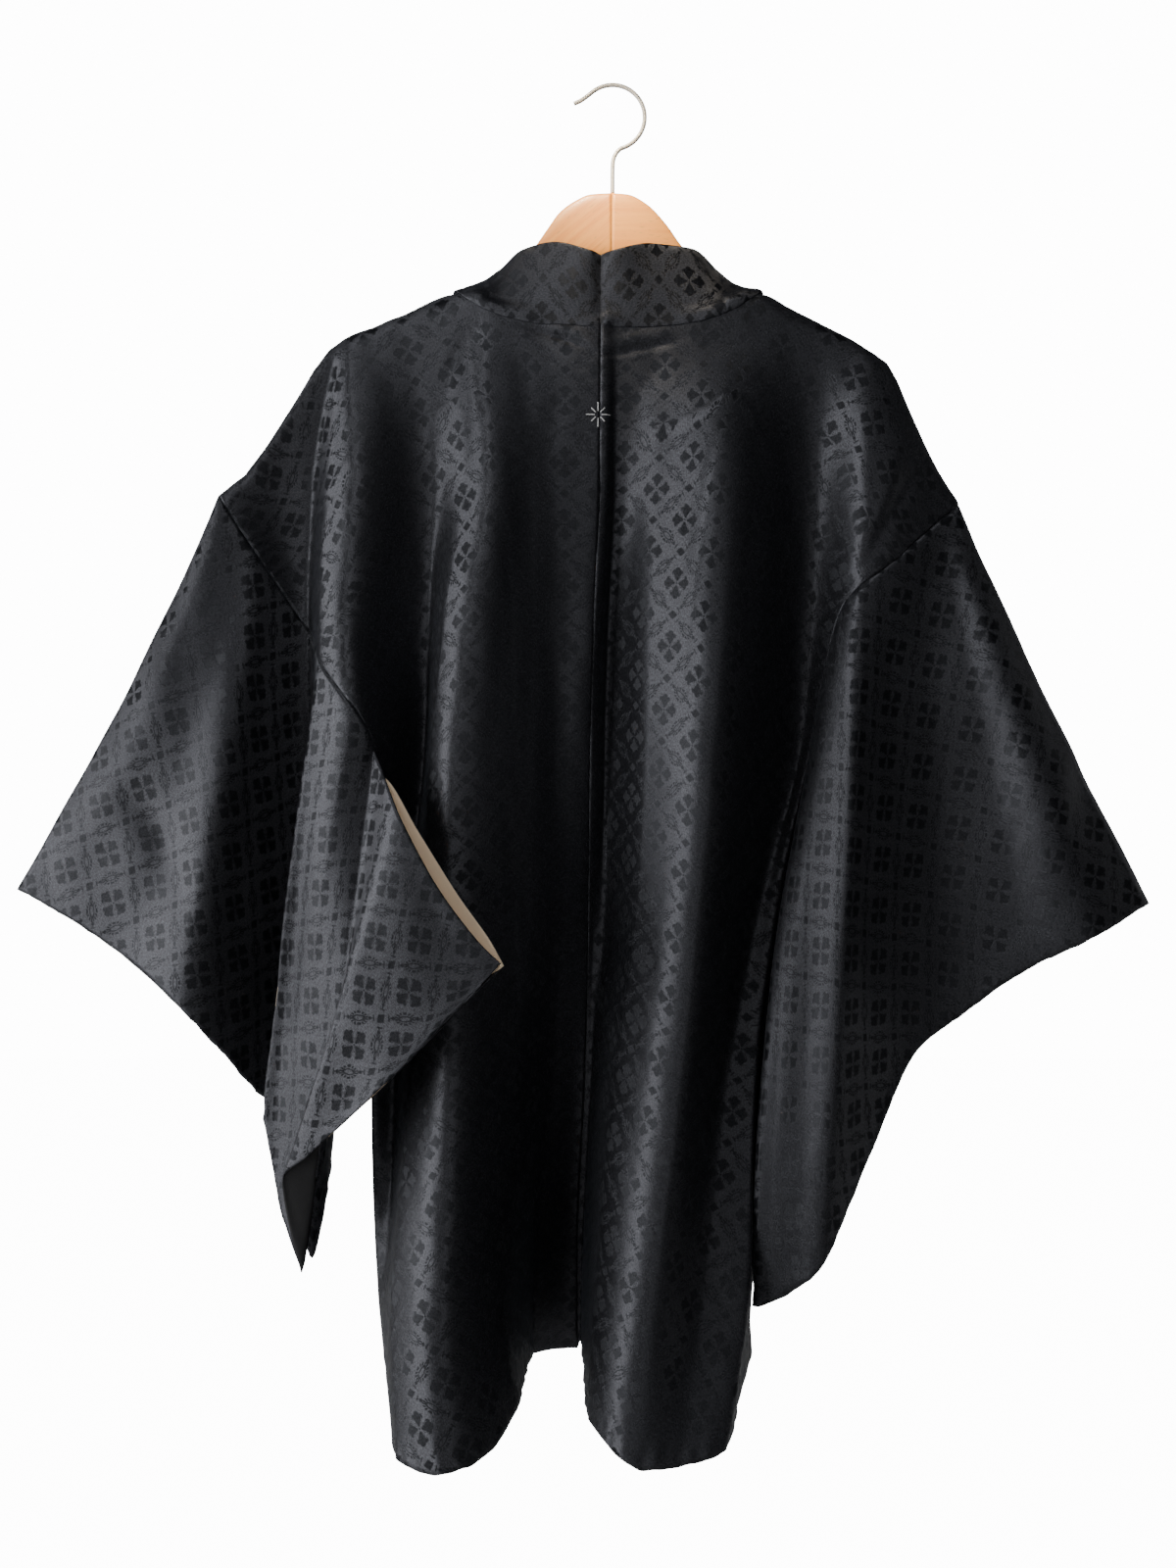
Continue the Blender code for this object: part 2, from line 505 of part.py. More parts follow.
def hook(name, finish):
    """The wire hook: an open ring over a straight stem, with its tip turned a little outward."""
    curve = bpy.data.curves.new(name, "CURVE")
    curve.dimensions = "3D"
    curve.bevel_depth = WIRE_RADIUS
    curve.bevel_resolution = 1
    curve.use_fill_caps = True
    drop = HOOK_RADIUS - WIRE_RADIUS
    turns = [math.radians(angle) for angle in range(130, -75, -10)]
    ring = [(HOOK_RADIUS * math.cos(turn), HOOK_RADIUS * math.sin(turn) - drop) for turn in turns]
    tip = [(x * MM, z * MM) for x, z in ((-29, -12.5), (-24.5, -10.5), (-20, -7.5))]
    stem = [(x * MM, HOOK_FOOT + height * MM) for x, height in ((1.2, 27), (0.2, 22), (0, 10), (0, 0))]
    route = tip + ring + stem
    spline = curve.splines.new("POLY")
    spline.points.add(len(route) - 1)
    for made, (x, z) in zip(spline.points, route):
        made.co = (x, 0, z, 1)
    made = bpy.data.objects.new(name, curve)
    curve.materials.append(finish)
    collection.objects.link(made)
    return made


def gusset(name, back_edge, front_edge, finish, flip):
    """The wedge between the back's and the front's side edges."""
    shares = np.linspace(0, 1, GUSSET_ROWS)
    back = along(back_edge, shares)
    front = along(front_edge, shares)
    back = np.column_stack([back[:, 0], BACK.depth(back[:, 0], back[:, 1]), back[:, 1]])
    front = np.column_stack([front[:, 0], FRONT.depth(front[:, 0], front[:, 1]), front[:, 1]])
    grid = np.stack([(1 - t) * back + t * front for t in np.linspace(0, 1, 4)], axis=1)
    return cloth(name, pull_in(grid * MM, GUSSET_HALF_GAP, "lr"), finish, flip=flip)


def build():
    silk = material("black_figured_silk", (0.022, 0.023, 0.028), 0.42)
    wood = material("beech", (0.62, 0.41, 0.24), 0.45)
    steel = material("brushed_steel", (0.55, 0.54, 0.52), 0.3, 1.0)

    back_left = (
        NECK_SEAM_LEFT[:-1] + SHOULDER_LEFT + ARMHOLE_LEFT[:1],
        HEM_LEFT,
        CENTRE_SEAM,
        ARMHOLE_LEFT + SIDE_LEFT,
    )
    back_right = (
        NECK_SEAM_RIGHT[:-1] + SHOULDER_RIGHT + ARMHOLE_RIGHT[:1],
        HEM_RIGHT,
        CENTRE_SEAM,
        ARMHOLE_RIGHT + SIDE_RIGHT,
    )
    front_left = (
        SHOULDER_LEFT + ARMHOLE_LEFT[:1],
        ((-70, -992), (-110, -992), (-166, -992)),
        FRONT_EDGE_LEFT,
        FRONT_ARMHOLE_LEFT + FRONT_SIDE_LEFT,
    )
    front_right = (
        SHOULDER_RIGHT + ARMHOLE_RIGHT[:1],
        ((64, -992), (90, -992), (116, -992)),
        FRONT_EDGE_RIGHT,
        FRONT_ARMHOLE_RIGHT + FRONT_SIDE_RIGHT,
    )
    panels = (
        ("back_left", back_left, BACK, BACK_ROWS, BACK_COLUMNS, False),
        ("back_right", back_right, BACK, BACK_ROWS, BACK_COLUMNS, True),
        ("front_left", front_left, FRONT, FRONT_ROWS, FRONT_COLUMNS, True),
        ("front_right", front_right, FRONT, FRONT_ROWS, FRONT_COLUMNS, False),
    )
    hung = {}
    for name, outline, drape, rows, columns, flip in panels:
        hung[name] = pull_in(drape_panel(outline, drape, rows, columns), SEAM_HALF_GAP, "lr")
        cloth(name, hung[name], silk, flip=flip)

    back_side_left = ARMHOLE_LEFT[-1:] + SIDE_LEFT
    front_side_left = FRONT_ARMHOLE_LEFT[-1:] + FRONT_SIDE_LEFT
    gusset("gusset_left", back_side_left, front_side_left, silk, True)
    back_side_right = ARMHOLE_RIGHT[-1:] + SIDE_RIGHT
    front_side_right = FRONT_ARMHOLE_RIGHT[-1:] + FRONT_SIDE_RIGHT
    gusset("gusset_right", back_side_right, front_side_right, silk, False)

    sleeve_wall("sleeve_left_back", LEFT_BACK, BACK, silk)
    sleeve_wall("sleeve_left_front", LEFT_FRONT, FRONT, silk)
    sleeve_wall("sleeve_right_back", RIGHT_BACK, BACK, silk)
    sleeve_wall("sleeve_right_front", RIGHT_FRONT, FRONT, silk)

    collar_half("collar_left", COLLAR_LEFT, hung["back_left"], hung["front_left"], silk)
    collar_half("collar_right", COLLAR_RIGHT, hung["back_right"], hung["front_right"], silk)

    hanger_arm("hanger_arm_left", -1, 202, wood)
    hanger_arm("hanger_arm_right", 1, 193, wood)
    hook("hanger_hook", steel)


for old in list(bpy.data.objects):
    bpy.data.objects.remove(old)
collection = bpy.data.collections.new("haori_jacket")
bpy.context.scene.collection.children.link(collection)
build()
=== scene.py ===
"""The haori jacket and its hanger, dressed in finished cloth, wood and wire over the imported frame.

Metres, +Z up. The garment's back faces -Y. The tables give lengths in millimetres. The cloth hangs on the
solids' folds, drawn finer, with its creases, seams, lining and woven figure.
"""

import math
from collections import namedtuple

import bmesh
import bpy
import numpy as np
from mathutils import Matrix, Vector
from mathutils.bvhtree import BVHTree


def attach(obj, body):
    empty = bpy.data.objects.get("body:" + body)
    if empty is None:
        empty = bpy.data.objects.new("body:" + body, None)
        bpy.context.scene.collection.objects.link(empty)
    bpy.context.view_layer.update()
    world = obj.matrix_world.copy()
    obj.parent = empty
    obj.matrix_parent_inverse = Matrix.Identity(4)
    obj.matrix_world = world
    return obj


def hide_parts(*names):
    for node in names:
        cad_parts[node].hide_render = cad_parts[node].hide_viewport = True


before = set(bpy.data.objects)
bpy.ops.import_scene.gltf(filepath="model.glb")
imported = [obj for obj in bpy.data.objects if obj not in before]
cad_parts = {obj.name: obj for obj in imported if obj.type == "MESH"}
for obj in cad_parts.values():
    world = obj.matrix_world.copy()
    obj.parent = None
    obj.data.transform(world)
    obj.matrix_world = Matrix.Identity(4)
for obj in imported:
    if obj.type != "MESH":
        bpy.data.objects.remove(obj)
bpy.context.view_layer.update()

MM = 0.001

# The hanger's edges from its middle outward: distance and height. Both tops end alike.
HANGER_END = ((90, -158), (118, -169), (164, -186))
HANGER_UNDERSIDE = (
    (0, -130), (10, -131), (20, -134), (40, -143), (60, -157), (90, -178), (120, -190), (165, -204)
)

# Heights of the sections that the fold tables give
BACK_LEVELS = (-200, -300, -400, -500, -600, -750, -900, -1000)
FRONT_LEVELS = (-200, -350, -500, -700, -850, -1000)

Fold = namedtuple("Fold", "name x y")

# The back's folds from the wearer's left to right: where each stands at BACK_LEVELS, and how deep.
BACK_FOLDS = (
    Fold("outer_left", (-216, -290, -270, -240, -205, -200, -195, -190), (-9, -16, -20, -10, 6, 8, 5, 0)),
    Fold("valley_1", (-208, -229, -232, -225, -190, -188, -182, -172), (-10, 6, 8, 4, 0, 0, -5, -8)),
    Fold("shoulder_1", (-202, -209, -215, -208, -185, -184, -178.5, -167),
         (-12, -20, -28, -38, -14, -7, -14, -16)),
    Fold("crest_1", (-196, -190, -196, -185, -180, -180, -175, -163),
         (-14, -30, -38, -53, -24, -12, -22, -22)),
    Fold("valley_2", (-150, -136, -139, -142, -152, -165, -166, -157), (-11, -8, -2, 2, 0, -4, -38, -66)),
    Fold("shoulder_2", (-106, -107, -122, -132, -136, -148, -158, -150),
         (-15, -26, -34, -38, -40, -38, -58, -84)),
    Fold("crest_2", (-92, -90, -101, -112, -117, -116, -122, -118),
         (-18, -34, -44, -50, -54, -62, -82, -101)),
    Fold("flank_2", (-62, -58, -58, -60, -62, -74, -82, -66), (-17, -22, -25, -27, -24, -22, -36, -52)),
    Fold("valley_3_left", (-40, -40, -42, -42, -40, -45, -60, -62.5), (-18, -17, -18, -14, -6, 24, 46, 74)),
    Fold("centre_seam", (-9, -10, -14, -17, -18, -21, -27, -27), (-20, -15, -13, -6, 8, 34, 66, 88)),
    Fold("seam_side", (-4, -5, -9, -12, -13, -16, -22.5, -24), (-19, -14, -9, -2, 12, 34, 66, 87)),
    Fold("valley_3_right", (2, 2, -3, -6, -7, -12, -20, -22.5), (-17, -5, 4, 10, 16, 26, 42, 36)),
    Fold("flank_3", (36, 36, 30, 26, 20, 3, -12, -20), (-16, -21, -26, -29, -28, -21, -38, -62)),
    Fold("crest_3", (80, 80, 76, 69, 61, 46, 26, 14), (-17, -42, -50, -57, -58, -54, -72, -92)),
    Fold("valley_4", (150, 151, 149, 143, 118, 88, 66, 48), (-12, -2, 8, 14, 8, -8, -46, -87)),
    Fold("crest_4", (190, 190, 184, 153, 128, 107, 97, 76), (-13, -26, -26, 5, 4, -10, -44, -80)),
    Fold("outer_right", (206, 250, 262, 172, 140, 109.5, 104, 92), (-9, -5, -4, 2, 16, 16, 0, -14)),
)

# The fronts' folds in the same way, at FRONT_LEVELS.
FRONT_FOLDS = (
    Fold("outer_left", (-216, -292, -190, -188, -184, -166), (9, 16, 24, 40, 46, 48)),
    Fold("crest_left_1", (-186, -178, -166, -162, -160, -146), (12, 44, 58, 86, 96, 102)),
    Fold("valley_left_1", (-152, -146, -134, -128, -126, -116), (10, 18, 24, 44, 52, 58)),
    Fold("crest_left_2", (-128, -112, -100, -94, -92, -88), (14, 58, 84, 112, 124, 130)),
    Fold("centre_left", (-60, -50, -50, -50, -50, -50), (40, 66, 84, 100, 110, 116)),
    Fold("centre_right", (60, 50, 48, 46, 46, 46), (40, 66, 84, 100, 110, 116)),
    Fold("crest_right_2", (122, 100, 82, 70, 70, 72), (14, 58, 84, 110, 122, 132)),
    Fold("valley_right_1", (148, 128, 104, 86, 84, 90), (10, 20, 46, 72, 82, 96)),
    Fold("crest_right_1", (180, 158, 130, 102, 98, 106), (12, 44, 70, 104, 116, 132)),
    Fold("outer_right", (206, 262, 160, 116, 109, 118), (9, 16, 44, 60, 66, 84)),
)

SleeveFold = namedtuple("SleeveFold", "name start end bow")

# Each sleeve wall is a fan of fold lines, from a start on the armhole or the open inner edge to an end on
# the cuff or the bottom edge. A start with no depth lies on its panel. The bow is how far the middle of the
# line stands out in x and y.
LEFT_BACK = [SleeveFold(*row) for row in (
    ("top_fold", (-296, None, -309), (-447, -8, -606), (7, -4)),
    ("upper", (-287, None, -323), (-412, -19, -622), (6, -6)),
    ("dip", (-276, None, -340), (-362, -30, -652), (6, -8)),
    ("crest", (-264, None, -359), (-312, -54, -688), (4, -12)),
    ("below_crest", (-250, None, -381), (-282, -32, -730), (0, -4)),
    ("lip", (-236, None, -404), (-264, -10, -760), (0, 4)),
    ("valley", (-225, None, -421), (-238, 12, -788), (2, 8)),
    ("under_ridge", (-219, None, -431), (-244, -16, -788), (0, -4)),
    ("ridge", (-216, None, -436), (-256, -34, -772), (-2, -4)),
    ("ridge_inner", (-207, None, -450), (-250, -36, -802), (-2, -1)),
    ("middle", (-191, None, -477), (-242, -40, -838), (0, -4)),
    ("underarm", (-175, None, -501), (-225, -50, -880), (4, -11)),
    ("hanging_1", (-150, -76, -552), (-238, -56, -814), (0, -2)),
    ("hanging_2", (-122, -82, -602), (-216, -64, -790), (0, -2)),
    ("hanging_3", (-92, -86, -640), (-164, -80, -740), (0, -1)),
    ("corner", (-79, -88, -652), (-96, -88, -670), (0, 0)),
)]
LEFT_FRONT = [SleeveFold(*row) for row in (
    ("top_fold", (-296, None, -309), (-447, -5, -606), (7, -1)),
    ("upper", (-280, None, -336), (-400, -14, -628), (4, 6)),
    ("middle", (-258, None, -374), (-340, -30, -662), (0, 10)),
    ("lower", (-236, None, -415), (-290, -12, -716), (0, 16)),
    ("behind_valley", (-212, None, -460), (-246, 24, -784), (0, 10)),
    ("underarm", (-190, None, -502), (-216, 16, -815), (0, 6)),
    ("round_side", (-191, -16, -514), (-214, -16, -836), (-3, 2)),
    ("inner_edge_1", (-166, -46, -522), (-222, -28, -876), (-4, 4)),
    ("inner_edge_2", (-139, -60, -562), (-234, -36, -814), (0, 0)),
    ("inner_edge_3", (-110, -71, -606), (-214, -48, -790), (0, -2)),
    ("inner_edge_4", (-87, -79, -637), (-163, -66, -741), (0, -1)),
    ("corner", (-77, -84, -654), (-95, -83, -671), (0, 0)),
)]
RIGHT_BACK = [SleeveFold(*row) for row in (
    ("top_fold", (261, None, -316), (405, -2, -617), (-4, -4)),
    ("upper", (253, None, -323), (353, -24, -642), (-2, -8)),
    ("middle", (243, None, -332), (312, -7, -666), (0, 0)),
    ("soft_valley", (226, None, -347), (266, 5, -702), (0, 4)),
    ("below_valley", (206, None, -364), (230, -2, -728), (0, 2)),
    ("outer_flank", (193, None, -376), (190, -20, -804), (-2, -6)),
    ("crest", (182, None, -386), (150, -46, -878), (0, -10)),
    ("inner_flank", (173, None, -396), (133, -38.5, -896), (-6, -9)),
    ("valley", (163, None, -432), (115, -29, -909), (-11, -13)),
    ("underarm", (155, None, -490), (104.5, -22, -914), (-15, -11)),
    ("hanging_1", (150, 40, -560), (117, 24, -902), (-3, 4)),
    ("hanging_2", (142, 60, -650), (126, 56, -852), (0, 2)),
    ("corner", (136, 74, -736), (132, 73, -760), (0, 0)),
)]
RIGHT_FRONT = [SleeveFold(*row) for row in (
    ("top_fold", (261, None, -316), (405, 1, -617), (-4, -1)),
    ("upper", (246, None, -334), (352, -4, -643), (-2, 6)),
    ("middle", (228, None, -356), (308, 2, -668), (0, 8)),
    ("lower", (206, None, -392), (258, 12, -706), (0, 10)),
    ("crest", (186, None, -430), (212, 8, -740), (4, 12)),
    ("underarm", (168, None, -488), (198, 10, -790), (6, 12)),
    ("inner_edge_1", (160, 62, -560), (162, 12, -884), (8, 12)),
    ("inner_edge_2", (152, 74, -630), (128, 30, -904), (6, 12)),
    ("inner_edge_3", (146, 80, -700), (131, 62, -856), (4, 6)),
    ("corner", (139, 80, -734), (135, 79, -760), (0, 0)),
)]

# The collar's stations from centre back to the front hem: its free edge, its seam, and how far it is
# crowned between them. A seam marked BEHIND or AHEAD lies on that panel.
BEHIND, AHEAD = "behind", "ahead"
CollarStation = namedtuple("CollarStation", "free seam crown")
COLLAR_LEFT = [CollarStation(*row) for row in (
    ((-8.2, -21, -134), (-8.2, BEHIND, -187), -1),
    ((-18, -24.5, -131.5), (-18, BEHIND, -187), 1),
    ((-47, -16, -123), (-48, BEHIND, -185.5), 1),
    ((-68, -6, -125), (-70, BEHIND, -182), 2),
    ((-86, 14, -133), (-94, BEHIND, -174.5), 3),
    ((-93, 28, -133), (-109, BEHIND, -165), 3),
    ((-97, 38, -139), (-117.5, -9, -157.5), 4),
    ((-99, 46, -147), (-120, 2, -156.5), 4),
    ((-99, 52, -157), (-119, 12, -159), 4),
    ((-96, 58, -172), (-117.5, AHEAD, -174), 4),
    ((-88, 65, -200), (-114, AHEAD, -200), 4),
    ((-68, 73, -250), (-105, AHEAD, -252), 4),
    ((-50, 82, -300), (-95.5, AHEAD, -302), 3),
    ((-34, 92, -400), (-86, AHEAD, -402), 2),
    ((-27, 101, -500), (-79, AHEAD, -502), 2),
    ((-18, 116, -700), (-74.5, AHEAD, -702), 2),
    ((-16, 124, -850), (-73.5, AHEAD, -852), 2),
    ((-14, 130, -990), (-72.5, AHEAD, -992), 2),
)]
COLLAR_RIGHT = [CollarStation(*row) for row in (
    ((-9.8, -21, -134), (-9.8, BEHIND, -187), -1),
    ((2, -24.5, -131.5), (2, BEHIND, -187), 1),
    ((30, -16, -124), (30, BEHIND, -186.5), 1),
    ((60, -8, -125), (63, BEHIND, -183), 2),
    ((80, 14, -133), (88, BEHIND, -174.5), 3),
    ((87, 28, -134), (103, BEHIND, -165), 3),
    ((91, 38, -140), (111.5, -9, -157.5), 4),
    ((93, 46, -148), (114, 2, -156.5), 4),
    ((93, 52, -158), (113, 12, -159), 4),
    ((90, 58, -173), (111.5, AHEAD, -174), 4),
    ((82, 65, -200), (108, AHEAD, -200), 4),
    ((63, 73, -250), (99.5, AHEAD, -252), 4),
    ((46, 82, -300), (90.5, AHEAD, -302), 3),
    ((29, 92, -400), (80, AHEAD, -402), 2),
    ((22, 101, -500), (73, AHEAD, -502), 2),
    ((14, 116, -700), (68.5, AHEAD, -702), 2),
    ((13, 124, -850), (67.5, AHEAD, -852), 2),
    ((12, 130, -990), (66.5, AHEAD, -992), 2),
)]

# The two halves of the jacket, seen from behind. The edges of a half's panels are lines of (x, z), and its
# gusset's bow is how far the middle stands out. The hanger's top edge is given as distance and height from
# its middle outward, and the wood by its three numbers in beech().
Half = namedtuple(
    "Half",
    "name outward neck_seam shoulder armhole side hem front_armhole front_side front_hem front_edge"
    " sleeve_back sleeve_front collar gusset_bow hanger_top hanger_tip wood",
)
LEFT = Half(
    name="left",
    outward=-1,
    neck_seam=((-9, -185), (-48, -183.5), (-70, -180), (-95, -172), (-117, -157)),
    shoulder=(
        (-117, -157), (-164, -176), (-202, -192), (-213, -200), (-225, -215), (-240, -240), (-277, -294)
    ),
    armhole=((-296, -309), (-256, -372), (-216, -436), (-174, -503)),
    side=((-178, -600), (-180, -750), (-174, -900), (-161, -1000)),
    hem=((-27, -984), (-62, -982), (-66, -975), (-86, -990), (-128, -999), (-161, -997)),
    front_armhole=((-296, -309), (-258, -374), (-224, -436), (-188, -505)),
    front_side=((-187, -600), (-186, -750), (-182, -900), (-166, -992)),
    front_hem=((-70, -992), (-110, -992), (-166, -992)),
    front_edge=((-117, -157), (-112, -200), (-93, -300), (-76, -500), (-72, -700), (-70, -992)),
    sleeve_back=LEFT_BACK,
    sleeve_front=LEFT_FRONT,
    collar=COLLAR_LEFT,
    gusset_bow=0,
    hanger_top=((0, -81), (16, -82), (28, -87), (40, -96), (48, -107), (57, -120), (70, -139), *HANGER_END),
    hanger_tip=202,
    wood=(0.7, 0.93, 3.2),
)
RIGHT = Half(
    name="right",
    outward=1,
    neck_seam=((-9, -185), (30, -184.5), (62, -181), (88, -172), (111, -157)),
    shoulder=((111, -157), (142, -173), (180, -192), (206, -209), (214, -223), (227, -253), (246, -292)),
    armhole=((261, -316), (216, -355), (171, -396), (160, -445), (152, -494)),
    side=((130, -600), (109.5, -750), (104, -900), (91, -990)),
    hem=((-27, -984), (-24.5, -977), (-16, -981), (24, -1002), (60, -1000), (91, -990)),
    front_armhole=((261, -316), (216, -372), (182, -436), (162, -497)),
    front_side=((138, -600), (114, -750), (110, -900), (116, -992)),
    front_hem=((64, -992), (90, -992), (116, -992)),
    front_edge=((111, -157), (106, -200), (88, -300), (70, -500), (66, -700), (64, -992)),
    sleeve_back=RIGHT_BACK,
    sleeve_front=RIGHT_FRONT,
    collar=COLLAR_RIGHT,
    gusset_bow=6.5,
    hanger_top=((0, -81), (12, -82), (26, -89), (41, -104.5), (52, -120), (70, -140), *HANGER_END),
    hanger_tip=193,
    wood=(0.0, 1.0, 1.6),
)
CENTRE_SEAM = (
    (-9, -185), (-10, -300), (-14, -400), (-17, -500), (-18, -600), (-21, -750), (-27, -900), (-27, -986)
)
SHOULDER_LINE = np.transpose(LEFT.armhole[:1] + LEFT.shoulder[::-1] + RIGHT.shoulder + RIGHT.armhole[:1])

# The finished cloth's walls and the gaps at its seams
CLOTH_THICKNESS = 1.2
SHOULDER_HALF_GAP = 0.8
WALL_HALF_GAP = 0.15
SEAM_DIP = 0.3
SEAM_REACH = 2.0
ROLL_OVER_SHOULDER = 14
NECK_TO_SHOULDER = 30

# Rows and columns of points. A panel has more rows close to the shoulder, in these shares of its height.
BACK_GRID = (230, 150)
FRONT_GRID = (150, 90)
ROLL_ROWS = 12
ROLL_SHARE = 0.03
NECK_ROWS = 50
NECK_SHARE = 0.10
SLEEVE_ROWS_A_FOLD = 10
SLEEVE_COLUMNS = 90
GUSSET_ROWS = 90
GUSSET_COLUMNS = 24

# How the cloth is laid flat: rounds, the share of its strain that each takes off, and a coarse grid
FLATTEN_STEPS = 400
FLATTEN_PULL = 0.11
FLATTEN_GRID = (36, 24)

# Small forms of the cloth: random ripples, gathers beside seams, and waves along hems and cuffs
RIPPLE_WAVES = 7
PUCKER_HEIGHT = 0.35
PUCKER_REACH = 16
PUCKER_PITCH = 11
HEM_WAVE = 1.2
CUFF_WAVE = 0.9
WAVE_REACH = 13
WAVE_PITCH = 29

# The kimono cut of a sleeve: down its armhole edge and cuff, and across to the cuff
SLEEVE_DROP = 490
SLEEVE_WIDTH = 336

# The gussets start below the armholes
GUSSET_HALF_GAP = 0.7
UNDERARM_Z = -500

# The collar: its two layers together, its clearance from the panels at its free edge and at its seam, and
# the share of a point's distance beside a panel by which the clearance falls
COLLAR_THICKNESS = 1.9
COLLAR_STAND_OFF = 1.7
COLLAR_SEAM_STAND_OFF = 0.8
STAND_OFF_REACH = 8
STAND_OFF_TAPER = 0.1
COLLAR_STEPS = 320
COLLAR_COLUMNS = 18
COLLAR_ACROSS = (1 - np.cos(np.linspace(0, math.pi, COLLAR_COLUMNS))) / 2
# Depth and reach of the dips where its two halves are joined at centre back
COLLAR_JOIN_DIPS = ((1.1, 4), (0.5, 14))

# The hanger and its hook. The hook's ring runs between two angles, in degrees, by a step.
HANGER_X = -0.5
HANGER_JOINT = -0.1
HANGER_THICKNESS = 12
HANGER_TAPER = 0.35
HANGER_SQUARENESS = 0.42
HANGER_BOW = 0.5
HANGER_STEPS = 90
HANGER_SIDES = 40
HANGER_TIP_Z = -204
HANGER_TIP_HEIGHT = 9
HANGER_TIP_ROUND = 4
WIRE_RADIUS = 1.6
HOOK_RADIUS = 24.4
HOOK_RING = (130, -76, -4)
HOOK_STEPS = 120
HOOK_TIP = ((-29, -12.5), (-24.5, -10.5), (-20, -7.5))
HOOK_STEM = ((1.2, -53.2), (0.2, -58.2), (0, -70.2), (0, -80.2))

# The white star stitched where the crest would be: its centre (x, z) and the reach of its stitches
STAR_CENTRE = (-11, -252)
STAR_STITCHES = 8
STAR_INNER = 2.6
STAR_OUTER = 9
STAR_SHORT = 0.78
STAR_THREAD = 0.4

# The weave: the lattice's pitches on the cloth, and the looks of its ground and its figure
WEFT_PITCH = 58
WARP_PITCH = 46
GROUND_COLOUR = (0.045, 0.046, 0.053)
FIGURE_COLOUR = (0.020, 0.021, 0.025)
GROUND_ROUGHNESS = 0.51
FIGURE_ROUGHNESS = 0.54
SILK_FINISH = {
    "Metallic": 0.76,
    "Anisotropic": 0.8,
    "Specular IOR Level": 0.6,
    "Sheen Weight": 0.06,
    "Sheen Roughness": 0.35,
    "Sheen Tint": (0.55, 0.6, 0.72, 1),
}

# The black silk turned in over the lining, from this far across the sleeves and down the panels: far wider
# than a real turned-in edge, so that its black is also painted shade inside the sleeves and the jacket
FACING_AND_SHADE_COLOUR = (0.005, 0.005, 0.006)
FACING_AND_SHADE_FROM = 230
FACING_AND_SHADE_BELOW = 474

Crease = namedtuple("Crease", "panel path width height")

# The creases, by panel: the line that each follows (x, z), its half width, and its height, which is below
# zero where it sinks
CREASES = [Crease(*row) for row in (
    ("back_left", ((-68, -186), (-40, -194), (-10, -207)), 2.4, -2.8),
    ("back_left", ((-52, -186), (-32, -189), (-12, -198)), 4.0, 1.8),
    ("back_right", ((54, -196), (26, -201), (-7, -208)), 2.4, -2.8),
    ("back_right", ((44, -190), (22, -194), (-5, -200)), 4.0, 1.8),
    ("back_left", ((-104, -186), (-119, -214), (-132, -246)), 7.0, -2.2),
    ("back_left", ((-88, -196), (-101, -226), (-108, -262)), 9.0, 1.4),
    ("back_left", ((-28, -222), (-44, -250), (-50, -290)), 10.0, -1.0),
    ("back_right", ((38, -206), (20, -236), (12, -278)), 9.0, -1.2),
    ("back_right", ((228, -292), (206, -326), (176, -384)), 6.0, -1.8),
    ("back_right", ((216, -262), (206, -300), (188, -352)), 8.0, 1.4),
    ("front_left", ((-150, -200), (-166, -250), (-178, -310)), 9.0, -2.2),
    ("front_left", ((-118, -260), (-128, -330), (-132, -420)), 12.0, 1.8),
    ("front_right", ((148, -206), (166, -262), (172, -330)), 9.0, -2.0),
    ("front_right", ((104, -300), (112, -380), (108, -470)), 12.0, 1.6),
    ("sleeve_left_back", ((-366, -520), (-330, -566), (-300, -640)), 13.0, -2.0),
    ("sleeve_left_back", ((-318, -430), (-352, -500), (-392, -566)), 15.0, 1.6),
    ("sleeve_left_front", ((-300, -420), (-330, -500), (-360, -590)), 14.0, -2.2),
    ("sleeve_right_back", ((352, -470), (330, -540), (318, -618)), 14.0, 1.8),
    ("sleeve_right_back", ((300, -400), (336, -470), (372, -560)), 13.0, -1.6),
    ("sleeve_right_front", ((268, -420), (292, -500), (310, -590)), 14.0, -2.2),
)]

# The size that each piece was cut to, laid flat, in metres, and what it hangs from
Cut = namedtuple("Cut", "flat area rests_on")

# The studio, in metres and watts. The ground is bright to the eye only.
FLOOR_Z = -1.3
FLOOR_SIZE = 6
FLOOR_GLOW = 0.97
WORLD_FILL = 0.03
PALE = (1, 1, 1, 1)
BACKDROP_STRENGTH = 14.0
Softbox = namedtuple("Softbox", "name place size power target colour spread", defaults=((1, 1, 1), 180))
SOFTBOXES = (
    Softbox("key_left", (-2.5, -0.95, -0.62), (2.2, 2.1), 108, (0, 0, -0.6)),
    Softbox("collar_light", (-0.3, -0.55, 0.1), (0.25, 0.25), 1.1, (0, 0, -0.14)),
    Softbox("wood_light", (-0.06, -0.14, 0.085), (0.05, 0.05), 0.12, (0, 0, -0.08), (1, 0.86, 0.64), 40),
    Softbox("fill_top", (-0.3, -1.2, 1.3), (1.6, 0.8), 6, (0, 0, -0.5)),
    Softbox("fill_front", (0.3, -2.6, -0.4), (1.6, 1.6), 5, (0, 0, -0.6)),
    Softbox("edge_right", (2.2, 0.6, -0.2), (0.6, 1.6), 5, (0, 0, -0.5)),
)
CAMERA_LENS = 33.4
CAMERA_PLACE = (-0.0185, -1.1, -0.5269)


def smooth(knots, values, at):
    """Values read from a smooth curve through the knots, with no overshoot between them."""
    knots, values = (np.tile(np.asarray(given, float), (len(at), 1)) for given in (knots, values))
    return smooth_each(knots, values, np.asarray(at, float))


